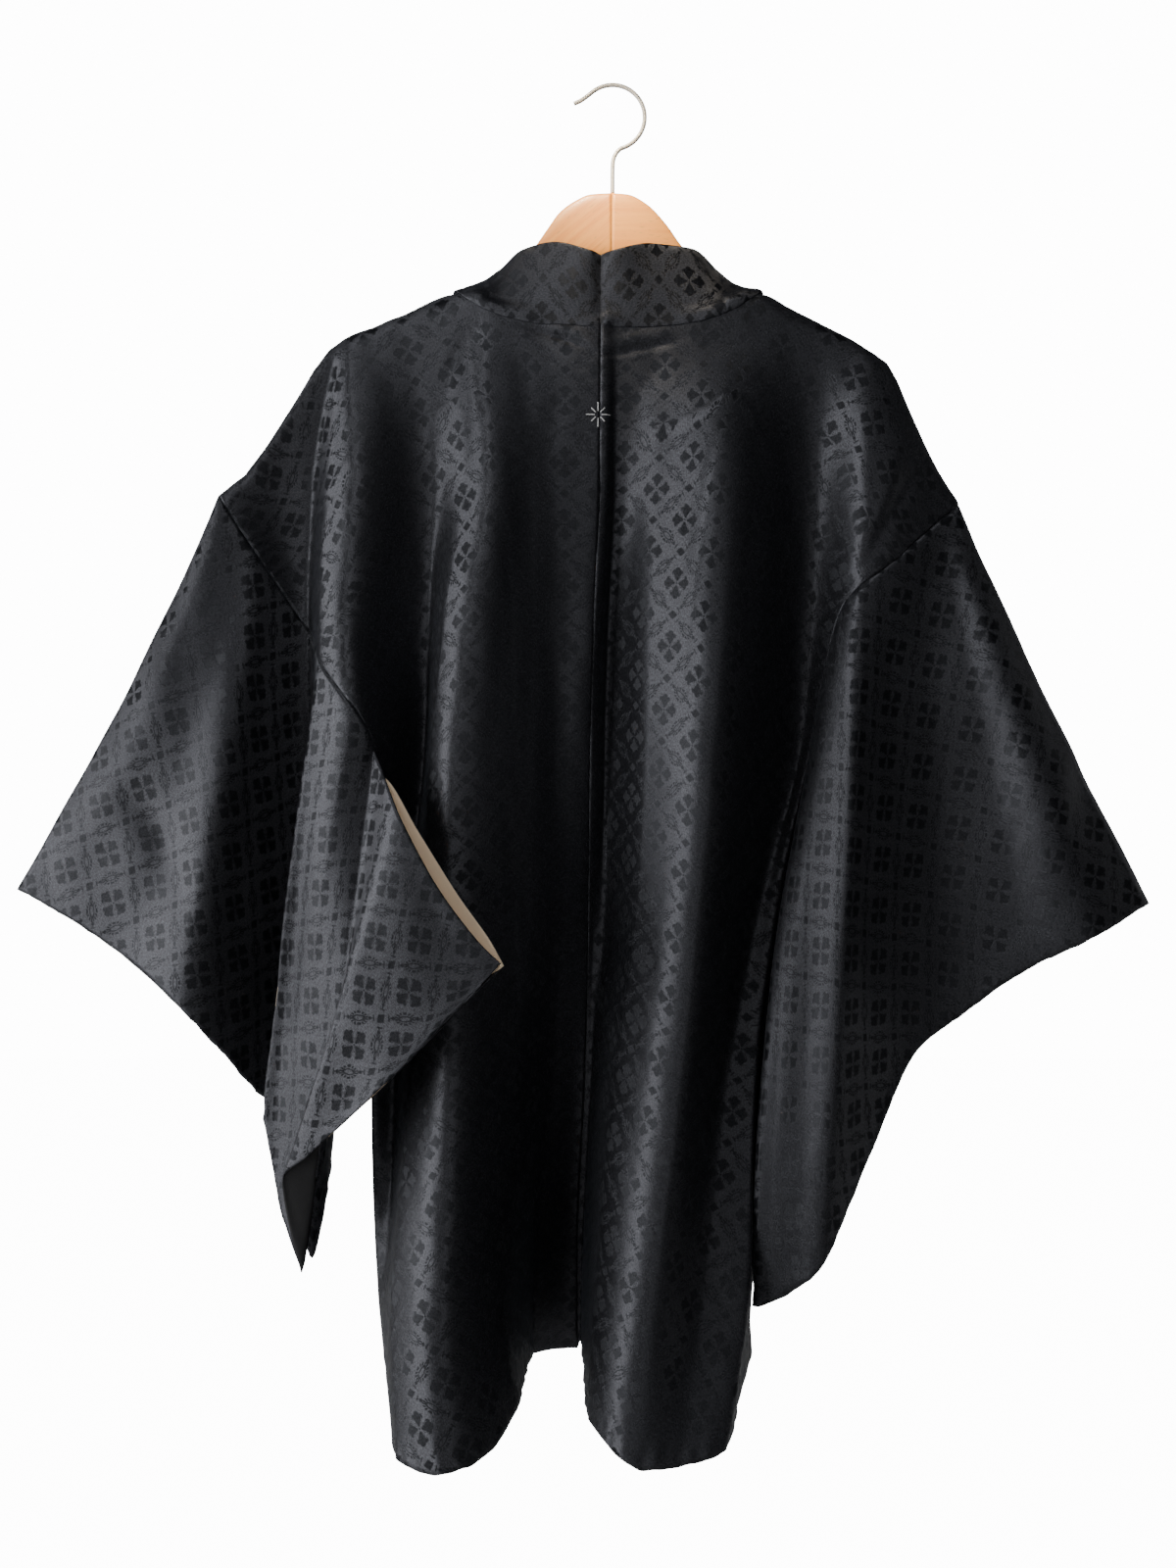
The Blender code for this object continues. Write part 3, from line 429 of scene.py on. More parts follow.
def smooth_each(knots, values, at):
    """The same, with knots and values of its own for each place."""
    row = np.arange(len(at))
    at = np.clip(at, knots[:, 0], knots[:, -1])
    step = np.diff(knots, axis=1)
    rise = np.diff(values, axis=1) / step
    slope = np.zeros_like(knots)
    slope[:, 0], slope[:, -1] = rise[:, 0], rise[:, -1]
    before, after = rise[:, :-1], rise[:, 1:]
    near, far = 2 * step[:, 1:] + step[:, :-1], step[:, 1:] + 2 * step[:, :-1]
    same = before * after > 0
    safe_before, safe_after = np.where(same, before, 1), np.where(same, after, 1)
    slope[:, 1:-1] = np.where(same, (near + far) / (near / safe_before + far / safe_after), 0)
    i = np.clip((knots <= at[:, None]).sum(1) - 1, 0, step.shape[1] - 1)
    width = step[row, i]
    t = (at - knots[row, i]) / width
    return (
        values[row, i] * (1 + 2 * t) * (1 - t) ** 2
        + slope[row, i] * width * t * (1 - t) ** 2
        + values[row, i + 1] * t**2 * (3 - 2 * t)
        + slope[row, i + 1] * width * t**2 * (t - 1)
    )


def unit(vectors):
    """The same directions, each of length one."""
    return vectors / np.maximum(np.linalg.norm(vectors, axis=-1, keepdims=True), 1e-9)


def run_of(line):
    """How far along a line each of its points lies."""
    return np.concatenate([[0], np.cumsum(np.linalg.norm(np.diff(line, axis=0), axis=1))])


def along(points, shares):
    """Points at the given shares of the way along a smooth line through the points."""
    points = np.asarray(points, float)
    run = run_of(points)
    return np.stack([smooth(run / run[-1], column, shares) for column in points.T], axis=-1)


def evenly(line, count):
    """The same line with its points spaced evenly along it."""
    run = run_of(line)
    at = np.linspace(0, run[-1], count)
    return np.stack([np.interp(at, run, column) for column in line.T], axis=-1)


class Drape:
    """How far the hanging cloth stands towards +Y at each x and z: folds that roll over the shoulder."""

    def __init__(self, folds, levels, side):
        self.down = -np.asarray(levels, float)
        self.folds = folds
        self.side = side

    def depth(self, x, z):
        x, z = np.asarray(x, float), np.asarray(z, float)
        down = np.clip(-z, self.down[0], self.down[-1])
        places = np.transpose([smooth(self.down, fold.x, down) for fold in self.folds])
        depths = np.transpose([smooth(self.down, fold.y, down) for fold in self.folds])
        folded = smooth_each(places, depths, x)
        fall = np.clip((np.interp(x, *SHOULDER_LINE) - z) / ROLL_OVER_SHOULDER, 0, 1)
        start = self.side * SHOULDER_HALF_GAP
        rolled = start + (folded - start) * np.sqrt(1 - (1 - fall) ** 2)
        neck = np.where(x < 0, -LEFT.neck_seam[-1][0], RIGHT.neck_seam[-1][0])
        onto_shoulder = np.clip((np.abs(x) - neck) / NECK_TO_SHOULDER + 1, 0, 1)
        return (1 - onto_shoulder) * folded + onto_shoulder * rolled


BACK = Drape(BACK_FOLDS, BACK_LEVELS, -1)
FRONT = Drape(FRONT_FOLDS, FRONT_LEVELS, 1)


def patch(top, bottom, inner, outer, down, columns):
    """A grid of (x, z) that fills the outline between four edges."""
    across = np.linspace(0, 1, columns)
    top, bottom = along(top, across), along(bottom, across)
    inner, outer = along(inner, down), along(outer, down)
    s, v = across[None, :, None], down[:, None, None]
    corners = (1 - s) * (1 - v) * top[0] + s * (1 - v) * top[-1]
    corners = corners + (1 - s) * v * bottom[0] + s * v * bottom[-1]
    return (1 - v) * top + v * bottom + (1 - s) * inner[:, None] + s * outer[:, None] - corners


def drape_panel(outline, drape, rows, columns):
    """Hangs a flat outline on the drape, each row spaced out evenly along the folds that it crosses."""
    roll = np.linspace(0, 1, ROLL_ROWS + 1)[:-1] ** 1.6 * ROLL_SHARE
    neck = np.linspace(ROLL_SHARE, NECK_SHARE, NECK_ROWS + 1)[:-1]
    down = np.concatenate([roll, neck, np.linspace(NECK_SHARE, 1, rows - ROLL_ROWS - NECK_ROWS)])
    flat = patch(*outline, down, 3 * columns)
    depth = drape.depth(flat[..., 0].ravel(), flat[..., 1].ravel()).reshape(flat.shape[:2])
    lines = np.stack([flat[..., 0], depth, flat[..., 1]], axis=-1)
    return np.stack([evenly(line, columns) for line in lines])


def normals_of(grid, towards):
    """Each point's normal, turned to the side of the given direction."""
    normal = unit(np.cross(np.gradient(grid, axis=1), np.gradient(grid, axis=0)))
    return normal * np.sign((normal @ np.array(towards, float)).sum())


def lifted(grid, height, towards):
    """The cloth moved out along its normals, by a height for each point."""
    return grid + height[..., None] * normals_of(grid, towards)


def flatten(grid, start):
    """The cloth laid flat: springs between its points bring their flat distances to the hung ones."""
    flat = start.copy()
    pairs = (
        (np.s_[:-1, :], np.s_[1:, :]),
        (np.s_[:, :-1], np.s_[:, 1:]),
        (np.s_[:-1, :-1], np.s_[1:, 1:]),
        (np.s_[1:, :-1], np.s_[:-1, 1:]),
    )
    lengths = [np.linalg.norm(grid[b] - grid[a], axis=-1, keepdims=True) for a, b in pairs]
    for _ in range(FLATTEN_STEPS):
        moved = np.zeros_like(flat)
        for (a, b), length in zip(pairs, lengths):
            away = flat[b] - flat[a]
            now = np.maximum(np.linalg.norm(away, axis=-1, keepdims=True), 1e-6)
            pull = away * (1 - length / now) * FLATTEN_PULL
            moved[a] += pull
            moved[b] -= pull
        flat += moved
    return flat


def filled_in(values, knots, count):
    """Rows of values that are given at the knots only, with the rows between them."""
    columns = values.reshape(len(knots), -1).T
    filled = np.stack([np.interp(np.arange(count), knots, column) for column in columns], axis=-1)
    return filled.reshape((count,) + values.shape[1:])


def laid_flat(grid, start):
    """Cloth coordinates for each point of a grid, from a guess at them, worked out on a coarser grid."""
    rows, columns = (
        np.round(np.linspace(0, size - 1, count)).astype(int)
        for size, count in zip(grid.shape, FLATTEN_GRID)
    )
    rough = flatten(grid[np.ix_(rows, columns)], start[np.ix_(rows, columns)])
    tall = filled_in(rough, rows, grid.shape[0])
    return filled_in(tall.swapaxes(0, 1), columns, grid.shape[1]).swapaxes(0, 1)


def arc_lengths(grid):
    """Distance across from the first column and down from the first row."""
    across = np.cumsum(np.linalg.norm(np.diff(grid, axis=1, prepend=grid[:, :1]), axis=-1), axis=1)
    down = np.cumsum(np.linalg.norm(np.diff(grid, axis=0, prepend=grid[:1]), axis=-1), axis=0)
    return np.stack([across, down], axis=-1)


def edge_distance(grid, side):
    """How far each point lies from one edge of its grid, along the cloth."""
    steps = arc_lengths(grid)
    across, down = steps[..., 0], steps[..., 1]
    return {"l": across, "r": across[:, -1:] - across, "t": down, "b": down[-1:] - down}[side]


def inset(grid, sides, reach):
    """Rises from 0 at two edges to 1 at the given reach from them."""
    return np.clip(np.minimum(*(edge_distance(grid, side) for side in sides)) / reach, 0, 1)


def ripple(places, size, seed):
    """Smooth random waves from about -1 to 1 over a plane, of about the given size."""
    rng = np.random.default_rng(seed)
    total = np.zeros(places.shape[:-1])
    for _ in range(RIPPLE_WAVES):
        angle, phase = rng.uniform(0, math.tau, 2)
        pitch = np.array(size) * rng.uniform(0.7, 1.5)
        turn = places[..., 0] / pitch[0] * math.cos(angle) + places[..., 1] / pitch[1] * math.sin(angle)
        total += np.sin(math.tau * turn + phase)
    return total / (RIPPLE_WAVES / 2)


def ripples(places, *kinds):
    """The sum of several kinds of ripple, each with its size, its seed and its height in millimetres."""
    return sum(ripple(places, size, seed) * height for size, seed, height in kinds)


def distance_to(path, x, z):
    """Distance of each place from a path, and its nearest point's share of the way along the path."""
    path = np.asarray(path, float)
    run = run_of(path)
    best, where = np.full(x.shape, 1e9), np.zeros(x.shape)
    for a, b, start, end in zip(path[:-1], path[1:], run[:-1], run[1:]):
        t = np.clip(((x - a[0]) * (b[0] - a[0]) + (z - a[1]) * (b[1] - a[1])) / (end - start) ** 2, 0, 1)
        gap = np.hypot(x - a[0] - t * (b[0] - a[0]), z - a[1] - t * (b[1] - a[1]))
        nearer = gap < best
        best = np.where(nearer, gap, best)
        where = np.where(nearer, (start + t * (end - start)) / run[-1], where)
    return best, where


def creased(grid, panel, towards):
    """The cloth with the named panel's creases pressed in or raised, fading at both of their ends."""
    lift = np.zeros(grid.shape[:2])
    for crease in CREASES:
        if crease.panel != panel:
            continue
        gap, where = distance_to(crease.path, grid[..., 0], grid[..., 2])
        fade = np.sin(math.pi * np.clip(where, 0.02, 0.98)) ** 0.6
        lift += crease.height * fade * np.exp(-((gap / crease.width) ** 2))
    return lifted(grid, lift, towards)


def sewn(grid, sides, towards):
    """The cloth with the named edges turned in towards their seams."""
    normal = normals_of(grid, towards)
    for side in sides:
        gap = edge_distance(grid, side)
        grid = grid - (SEAM_DIP * np.exp(-((gap / SEAM_REACH) ** 2)))[..., None] * normal
    return grid


def puckered(grid, side, flat, towards):
    """Small gathers square to a side seam, none of them on the seam itself."""
    gap, turns = edge_distance(grid, side), math.tau * flat[..., 1] / PUCKER_PITCH
    wave = np.sin(turns + 1.7 * np.sin(turns / 4.3))
    lift = PUCKER_HEIGHT * wave * np.exp(-((gap / PUCKER_REACH) ** 2)) * (1 - np.exp(-((gap / 2.5) ** 2)))
    return lifted(grid, lift, towards)


def waved(grid, side, flat, height, towards):
    """A hem ("b") or cuff ("r") that lies unevenly: waves along it that die out above its turning."""
    if side == "b":
        run, ends, drop = flat[..., 0], "lr", grid[-1:] - grid[-2:-1]
    else:
        run, ends, drop = flat[..., 1], "tb", grid[:, -1:] - grid[:, -2:-1]
    turns = math.tau * run / WAVE_PITCH
    wave = np.sin(turns + 1.9 * np.sin(turns / 3.3)) + 0.5 * np.sin(2.3 * turns + 1)
    fade = np.exp(-((edge_distance(grid, side) / WAVE_REACH) ** 2)) * inset(grid, ends, 9)
    return grid + (height * wave * fade)[..., None] * (0.6 * normals_of(grid, towards) - 0.5 * unit(drop))


EDGES = {
    "l": (np.s_[:, 0], np.s_[:, 1]),
    "r": (np.s_[:, -1], np.s_[:, -2]),
    "t": (np.s_[0], np.s_[1]),
    "b": (np.s_[-1], np.s_[-2]),
}


def pull_in(grid, gap, sides):
    """Draws the named edges of a grid back by a seam's half gap."""
    grid = grid.copy()
    for side in sides:
        edge, inside = EDGES[side]
        grid[edge] += unit(grid[inside] - grid[edge]) * gap
    return grid


def placed(name, data):
    """A new object in the scene."""
    piece = bpy.data.objects.new(name, data)
    bpy.context.scene.collection.objects.link(piece)
    return piece


def cloth(name, grid, flat, finishes, towards):
    """A hung piece in place of its node: a wall about the grid, silk outside and lining inside."""
    rows, columns = grid.shape[:2]
    index = np.arange(rows * columns).reshape(rows, columns)
    quads = np.stack([index[:-1, :-1], index[1:, :-1], index[1:, 1:], index[:-1, 1:]], axis=-1)
    quads = quads.reshape(-1, 4)
    a, b, c = (grid.reshape(-1, 3)[quads[:, k]] for k in (0, 1, 3))
    if (np.cross(b - a, c - a) @ np.array(towards, float)).sum() < 0:
        quads = quads[:, ::-1]
    mesh = bpy.data.meshes.new(name + "_cloth")
    mesh.from_pydata((grid.reshape(-1, 3) * MM).tolist(), [], quads.tolist())
    mesh.shade_smooth()
    for finish in finishes:
        mesh.materials.append(finish)
    piece = placed(name + "_cloth", mesh)
    wall = piece.modifiers.new("wall", "SOLIDIFY")
    wall.thickness = CLOTH_THICKNESS * MM
    wall.offset = 0
    wall.material_offset = 1
    wall.material_offset_rim = 0
    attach(piece, "root")
    declared(piece, name, flat)


def declared(piece, name, flat):
    """Gives a piece its flat cloth as its UV map, and hides the node that it stands in for."""
    mesh = piece.data
    corners = np.empty(len(mesh.loops), int)
    mesh.loops.foreach_get("vertex_index", corners)
    layer = mesh.uv_layers.new(name="cloth")
    layer.uv.foreach_set("vector", (flat.reshape(-1, 2)[corners] * MM).astype(np.float32).ravel())
    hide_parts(name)


def panel(name, outline, drape, finishes):
    """A body panel from its outline: top, hem, inner edge and outer edge. Gives back its grid."""
    towards = (0, drape.side, 0)
    grid = drape_panel(outline, drape, *(BACK_GRID if drape is BACK else FRONT_GRID))
    flat = laid_flat(grid, arc_lengths(grid))
    if name.endswith("left"):
        flat[..., 0] *= -1
    grid = creased(grid, name, towards)
    soft = ripples(grid[..., [0, 2]], ((55, 130), len(name), 0.5), ((17, 45), 3, 0.16))
    grid = lifted(grid, soft, towards)
    for side in "lr":
        grid = puckered(grid, side, flat, towards)
    grid = waved(sewn(grid, "lr", towards), "b", flat, HEM_WAVE, towards)
    cloth(name, grid, flat, finishes, towards)
    return grid


def armhole_edge(drape, outline, z):
    """Points of a panel's armhole edge at the given heights."""
    edge = along(outline, np.linspace(0, 1, 500))[::-1]
    x = np.interp(z, edge[:, 1], edge[:, 0])
    return np.stack([x, drape.depth(x, z), z], axis=-1)


def sleeve_fan(folds, drape, armhole):
    """A grid over a fan of fold lines, and how many of its rows the armhole holds."""
    starts = [list(fold.start) for fold in folds]
    sewn_to = 0
    for k, start in enumerate(starts):
        if start[1] is None:
            start[1] = drape.depth([start[0]], [start[2]])[0]
            sewn_to = k
    ends, bows = [fold.end for fold in folds], [(*fold.bow, 0) for fold in folds]
    share = np.linspace(0, 1, SLEEVE_COLUMNS)[None, :, None]
    knots = np.arange(len(folds))
    fine = np.linspace(0, len(folds) - 1, SLEEVE_ROWS_A_FOLD * (len(folds) - 1) + 1)
    starts, ends, bows = (
        np.stack([smooth(knots, column, fine) for column in np.array(points, float).T], axis=-1)
        for points in (starts, ends, bows)
    )
    grid = (1 - share) * starts[:, None] + share * ends[:, None] + 4 * share * (1 - share) * bows[:, None]
    held = (fine <= sewn_to).sum()
    # Rows that the armhole holds are drawn onto it, most of all at their start
    seat = armhole_edge(drape, armhole, grid[:held, 0, 2])
    grid[:held] += (seat - grid[:held, 0])[:, None] * (1 - share) ** 5
    return grid, held


def sleeve_cut(grid):
    """A guess at a sleeve's wall laid flat: its drop down the armhole, and its width out to the cuff."""
    start, end = run_of(grid[:, 0]), run_of(grid[:, -1])
    under = np.maximum(end - SLEEVE_DROP, 0)
    under *= SLEEVE_WIDTH / max(under[-1], 1)
    share = np.linspace(0, 1, SLEEVE_COLUMNS)[None, :, None]
    start_flat = np.stack([0 * start, start * SLEEVE_DROP / start[-1]], axis=-1)
    end_flat = np.stack([SLEEVE_WIDTH - under, np.clip(end, 0, SLEEVE_DROP)], axis=-1)
    return (1 - share) * start_flat[:, None] + share * end_flat[:, None]


def sleeve_wall(name, folds, drape, armhole, finishes):
    """One wall of a sleeve, sewn to its armhole."""
    towards = (0, drape.side, 0)
    grid, held = sleeve_fan(folds, drape, armhole)
    flat = laid_flat(grid, sleeve_cut(grid))
    if "left" in name:
        flat[..., 0] *= -1
    grid = creased(grid, name, towards)
    soft = ripples(grid[..., [0, 2]], ((60, 110), len(name), 0.8), ((18, 40), 9, 0.15))
    grid = lifted(grid, soft * inset(grid, "lr", 12), towards)
    grid[:held] = sewn(grid, "l", towards)[:held]
    grid = pull_in(waved(grid, "r", flat, CUFF_WAVE, towards), WALL_HALF_GAP, "tb")
    cloth(name, grid, flat, finishes, towards)


def gusset(half, back, front, finishes):
    """The wedge between the side edges of the back and front panels, below their armholes."""
    name, towards = f"gusset_{half.name}", (half.outward, 0, 0)
    edges = (back[:, -1], front[:, -1])
    back, front = (evenly(edge[edge[:, 2] < UNDERARM_Z], GUSSET_ROWS) for edge in edges)
    across, down = np.linspace(0, 1, GUSSET_COLUMNS), np.linspace(0, 1, GUSSET_ROWS)
    grid = np.stack([(1 - t) * back + t * front for t in across], axis=1)
    grid = pull_in(grid, GUSSET_HALF_GAP, "lr")
    grid[..., 0] += half.gusset_bow * 4 * across * (1 - across) * np.sin(math.pi * down)[:, None] ** 0.7
    flat = laid_flat(grid, arc_lengths(grid))
    soft = ripples(flat, ((30, 90), len(name), 0.4)) * inset(grid, "lr", 8)
    cloth(name, lifted(grid, soft, towards), flat, finishes, towards)


def on_panel(x, y, z):
    """A point of the collar's seam, on the panel that it is sewn to."""
    if y == BEHIND:
        y = BACK.depth([x], [z])[0]
    elif y == AHEAD:
        y = FRONT.depth([x], [z])[0]
    return x, y, z


def stood_off(points, surface, side, clearances):
    """Points that lie on a panel, moved out from it, by a clearance for each column of them."""
    rows, columns = surface.shape[:2]
    starts = [k for k in range((rows - 1) * columns) if (k + 1) % columns]
    quads = [(k, k + 1, k + columns + 1, k + columns) for k in starts]
    tree = BVHTree.FromPolygons([Vector(point) for point in surface.reshape(-1, 3)], quads)
    moved = points.copy()
    for point, clearance in zip(moved.reshape(-1, 3), np.tile(clearances, len(moved))):
        nearest, normal, _, _ = tree.find_nearest(Vector(point), STAND_OFF_REACH)
        if nearest is None:
            continue
        normal = normal if normal.y * side > 0 else -normal
        away = Vector(point) - nearest
        height = away.dot(normal)
        needed = clearance - STAND_OFF_TAPER * (away - height * normal).length
        if height < needed:
            point += (needed - height) * np.array(normal)
    return moved


def collar_strip(stations, back, front):
    """A grid over the collar from its free edge to its seam, clear of the panels, and the way it faces."""
    shares = np.linspace(0, 1, COLLAR_STEPS) ** 1.5
    free = along([station.free for station in stations], shares)
    seam = along([on_panel(*station.seam) for station in stations], shares)
    knots = np.linspace(0, 1, len(stations))
    crown = smooth(knots, [station.crown for station in stations], shares)[:, None]
    outward = unit(np.cross(np.gradient(seam, shares, axis=0), unit(free - seam)))
    if outward[0, 1] > 0:
        outward = -outward
    lines = [(1 - t) * free + t * seam + 4 * t * (1 - t) * crown * outward for t in COLLAR_ACROSS]
    grid = np.stack(lines, axis=1)
    clearances = COLLAR_STAND_OFF + (COLLAR_SEAM_STAND_OFF - COLLAR_STAND_OFF) * COLLAR_ACROSS**6
    return stood_off(stood_off(grid, back, -1, clearances), front, 1, clearances), outward


def tube_faces(rings, sides):
    """The faces of a tube through rings of points, without its ends."""
    faces = []
    for i in range(rings - 1):
        for k in range(sides):
            a, b = sides * i + k, sides * i + (k + 1) % sides
            faces.append((a, b, b + sides, a + sides))
    return faces


def collar_ends(count):
    """The faces that close the collar's two ends, between its outer layer and its inner one."""
    faces = []
    for end in (0, count * (COLLAR_STEPS - 1)):
        cap = []
        for k in range(COLLAR_COLUMNS - 1):
            far = [end + (count - j) % count for j in (k + 1, k)]
            cap.append(tuple(dict.fromkeys([end + k, end + k + 1] + far)))
        faces += cap if end == 0 else [face[::-1] for face in cap]
    return faces


def collar_half(half, back, front, finish):
    """The folded band from centre back round the neck and down one front: two layers with a round fold."""
    name = f"collar_{half.name}"
    grid, outward = collar_strip(half.collar, back, front)
    flat = arc_lengths(grid)
    normal = unit(np.cross(np.gradient(grid, axis=0), np.gradient(grid, axis=1)))
    normal *= np.sign((normal[0] * outward[0]).sum())
    soft = ripples(flat, ((90, 44), 5, 1.0), ((14, 20), 8, 0.16)) * np.sin(math.pi * COLLAR_ACROSS) ** 0.5
    dip = sum(depth * np.exp(-((flat[..., 1] / reach) ** 2)) for depth, reach in COLLAR_JOIN_DIPS)
    grid = pull_in(grid + (soft - dip)[..., None] * normal, WALL_HALF_GAP, "t")
    thickness = COLLAR_THICKNESS * (1 - np.abs(2 * COLLAR_ACROSS - 1) ** 8) ** 0.5
    off_middle = thickness[None, :, None] / 2 * normal
    ring = np.concatenate([grid + off_middle, (grid - off_middle)[:, -2:0:-1]], axis=1)
    ring_flat = np.concatenate([flat, flat[:, -2:0:-1]], axis=1)
    faces = tube_faces(*ring.shape[:2]) + collar_ends(ring.shape[1])
    declared(closed_mesh(name + "_cloth", ring.reshape(-1, 3), faces, finish), name, ring_flat)


def closed_mesh(name, points, faces, finish):
    """A closed piece from points in millimetres, with its faces turned out."""
    mesh = bpy.data.meshes.new(name)
    mesh.from_pydata((np.asarray(points) * MM).tolist(), [], faces)
    shape = bmesh.new()
    shape.from_mesh(mesh)
    bmesh.ops.recalc_face_normals(shape, faces=shape.faces)
    shape.to_mesh(mesh)
    shape.free()
    mesh.shade_smooth()
    mesh.materials.append(finish)
    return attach(placed(name, mesh), "root")


def hanger_arm(half, finish):
    """Half of the wooden hanger, with its edges rounded over."""
    tip, edges = half.hanger_tip, (half.hanger_top, HANGER_UNDERSIDE)
    top, low = ([point for point in edge if point[0] < tip - HANGER_TIP_ROUND] for edge in edges)
    top.append((tip, HANGER_TIP_Z))
    low.append((tip, HANGER_TIP_Z - HANGER_TIP_HEIGHT))
    shares = np.linspace(0, 1, HANGER_STEPS)
    turns = np.linspace(0, math.tau, HANGER_SIDES, endpoint=False)
    waves = (np.cos(turns), np.sin(turns))
    wide, tall = (np.sign(wave) * np.abs(wave) ** HANGER_SQUARENESS for wave in waves)
    points = []
    for share, upper, under in zip(shares, along(top, shares), along(low, shares)):
        thickness = HANGER_THICKNESS * (1 - HANGER_TAPER * share)
        for w, t in zip(wide, tall):
            reach, z = (upper + under) / 2 + t * (upper - under) / 2
            x = half.outward * (reach + HANGER_JOINT) + HANGER_X
            points.append((x, w * thickness / 2 + HANGER_BOW * share**2, z))
    faces = tube_faces(HANGER_STEPS, HANGER_SIDES)
    for first in (0, HANGER_SIDES * (HANGER_STEPS - 1)):
        faces.append(tuple(range(first, first + HANGER_SIDES)))
    name = f"hanger_arm_{half.name}"
    piece = closed_mesh(name + "_wood", points, faces, finish)
    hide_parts(name)


def wire(name, route, radius, finish, resolution=6):
    """A round wire or thread along a route, in millimetres."""
    curve = bpy.data.curves.new(name, "CURVE")
    curve.dimensions = "3D"
    curve.bevel_depth = radius * MM
    curve.bevel_resolution = resolution
    curve.use_fill_caps = True
    spline = curve.splines.new("POLY")
    spline.points.add(len(route) - 1)
    for made, point in zip(spline.points, route):
        made.co = (*(value * MM for value in point), 1)
    spline.use_smooth = True
    curve.materials.append(finish)
    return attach(placed(name, curve), "root")


def hook(finish):
    """The wire hook: its tip, three quarters of a ring, and its stem."""
    turns = np.radians(np.arange(*HOOK_RING))
    ring = np.transpose([np.cos(turns), np.sin(turns) - 1]) * HOOK_RADIUS + (0, WIRE_RADIUS)
    line = along([*HOOK_TIP, *ring, *HOOK_STEM], np.linspace(0, 1, HOOK_STEPS))
    piece = wire("hanger_hook_wire", [(x, 0, z) for x, z in line], WIRE_RADIUS, finish)
    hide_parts("hanger_hook")


def star(finish):
    """Eight short stitches that radiate from a point on the centre back seam, long and short by turns."""
    for k in range(STAR_STITCHES):
        turn = math.tau * k / STAR_STITCHES
        outer = STAR_OUTER if k % 2 == 0 else STAR_OUTER * STAR_SHORT
        route = []
        for reach in np.linspace(STAR_INNER, outer, 6):
            x, z = STAR_CENTRE[0] + reach * math.sin(turn), STAR_CENTRE[1] + reach * math.cos(turn)
            rise = 0.15 + 0.25 * math.sin(math.pi * (reach - STAR_INNER) / (outer - STAR_INNER))
            route.append((x, BACK.depth([x], [z])[0] - CLOTH_THICKNESS / 2 - rise, z))
        wire(f"star_stitch_{k + 1}", route, STAR_THREAD, finish, 2)


class Value:
    """A value in a node tree that takes part in sums."""

    def __init__(self, tree, socket):
        self.tree = tree
        self.socket = socket

    def node(self, operation, *others, clamp=False):
        made = self.tree.nodes.new("ShaderNodeMath")
        made.operation = operation
        made.use_clamp = clamp
        for slot, value in zip(made.inputs, (self, *others)):
            if isinstance(value, Value):
                self.tree.links.new(value.socket, slot)
            else:
                slot.default_value = value
        return Value(self.tree, made.outputs[0])

    def __add__(self, other):
        return self.node("ADD", other)

    def __sub__(self, other):
        return self.node("SUBTRACT", other)

    def __mul__(self, other):
        return self.node("MULTIPLY", other)

    def __truediv__(self, other):
        return self.node("DIVIDE", other)

    def __abs__(self):
        return self.node("ABSOLUTE")

    def clamped(self):
        return self.node("ADD", 0.0, clamp=True)

    def least(self, *others):
        result = self
        for other in others:
            result = result.node("MINIMUM", other)
        return result

    def most(self, *others):
        result = self
        for other in others:
            result = result.node("MAXIMUM", other)
        return result


def length_of(x, y):
    return (x * x + y * y).node("SQRT")


def offset_from_whole(value):
    return value - value.node("ROUND")


def offset_from_half(value):
    return value - value.node("FLOOR") - 0.5


def flower(x, y):
    """A flower of four broad, three-lobed petals, parted by fine rays: below zero inside the figure."""
    x, y = abs(x), abs(y)
    far, near = x.most(y), x.least(y)
    reach = length_of(x, y)
    core = reach - 5.2
    broad = (near - far * 0.48 - 0.7).most(far - 8.8, far * -1 + 2.8)
    tip = length_of(far - 9.2, near) - 2.4
    lobe = length_of(far - 7.6, near - 3.1) - 1.9
    petals = core.least(broad, tip, lobe)
    parting = (far - near) * 0.707 - 0.55
    ray = (abs(near * 0.87 - far * 0.5) - 0.32).most(reach - 8.0)
    eye = reach - 1.5
    dot = reach - 0.7
    return petals.most(parting * -1, ray * -1, eye * -1).least(dot)


def leaf(run, across):
    """A toothed oval leaf with a spindle in it, a stem and a bar at each end."""
    run, across = abs(run), abs(across)
    around = length_of(run / 7.6, across / 4.4)
    turn = (across / 4.4).node("ARCTAN2", run / 7.6)
    teeth = (turn * 15).node("COSINE") * 0.9 - 0.15
    ring = ((abs(around - 0.86) - 0.17) * 5).most(teeth)
    spindle = (abs(length_of(run / 4.8, across / 1.7) - 1) - 0.2) * 2.2
    stem = (across - 0.32).most(run - 12.6, run * -1 + 7.4)
    bar = (abs(run - 12.4) - 0.45).most(across - 2.0)
    bud = length_of(run - 9.2, across) - 1.25
    return ring.least(spindle, stem, bar, bud)


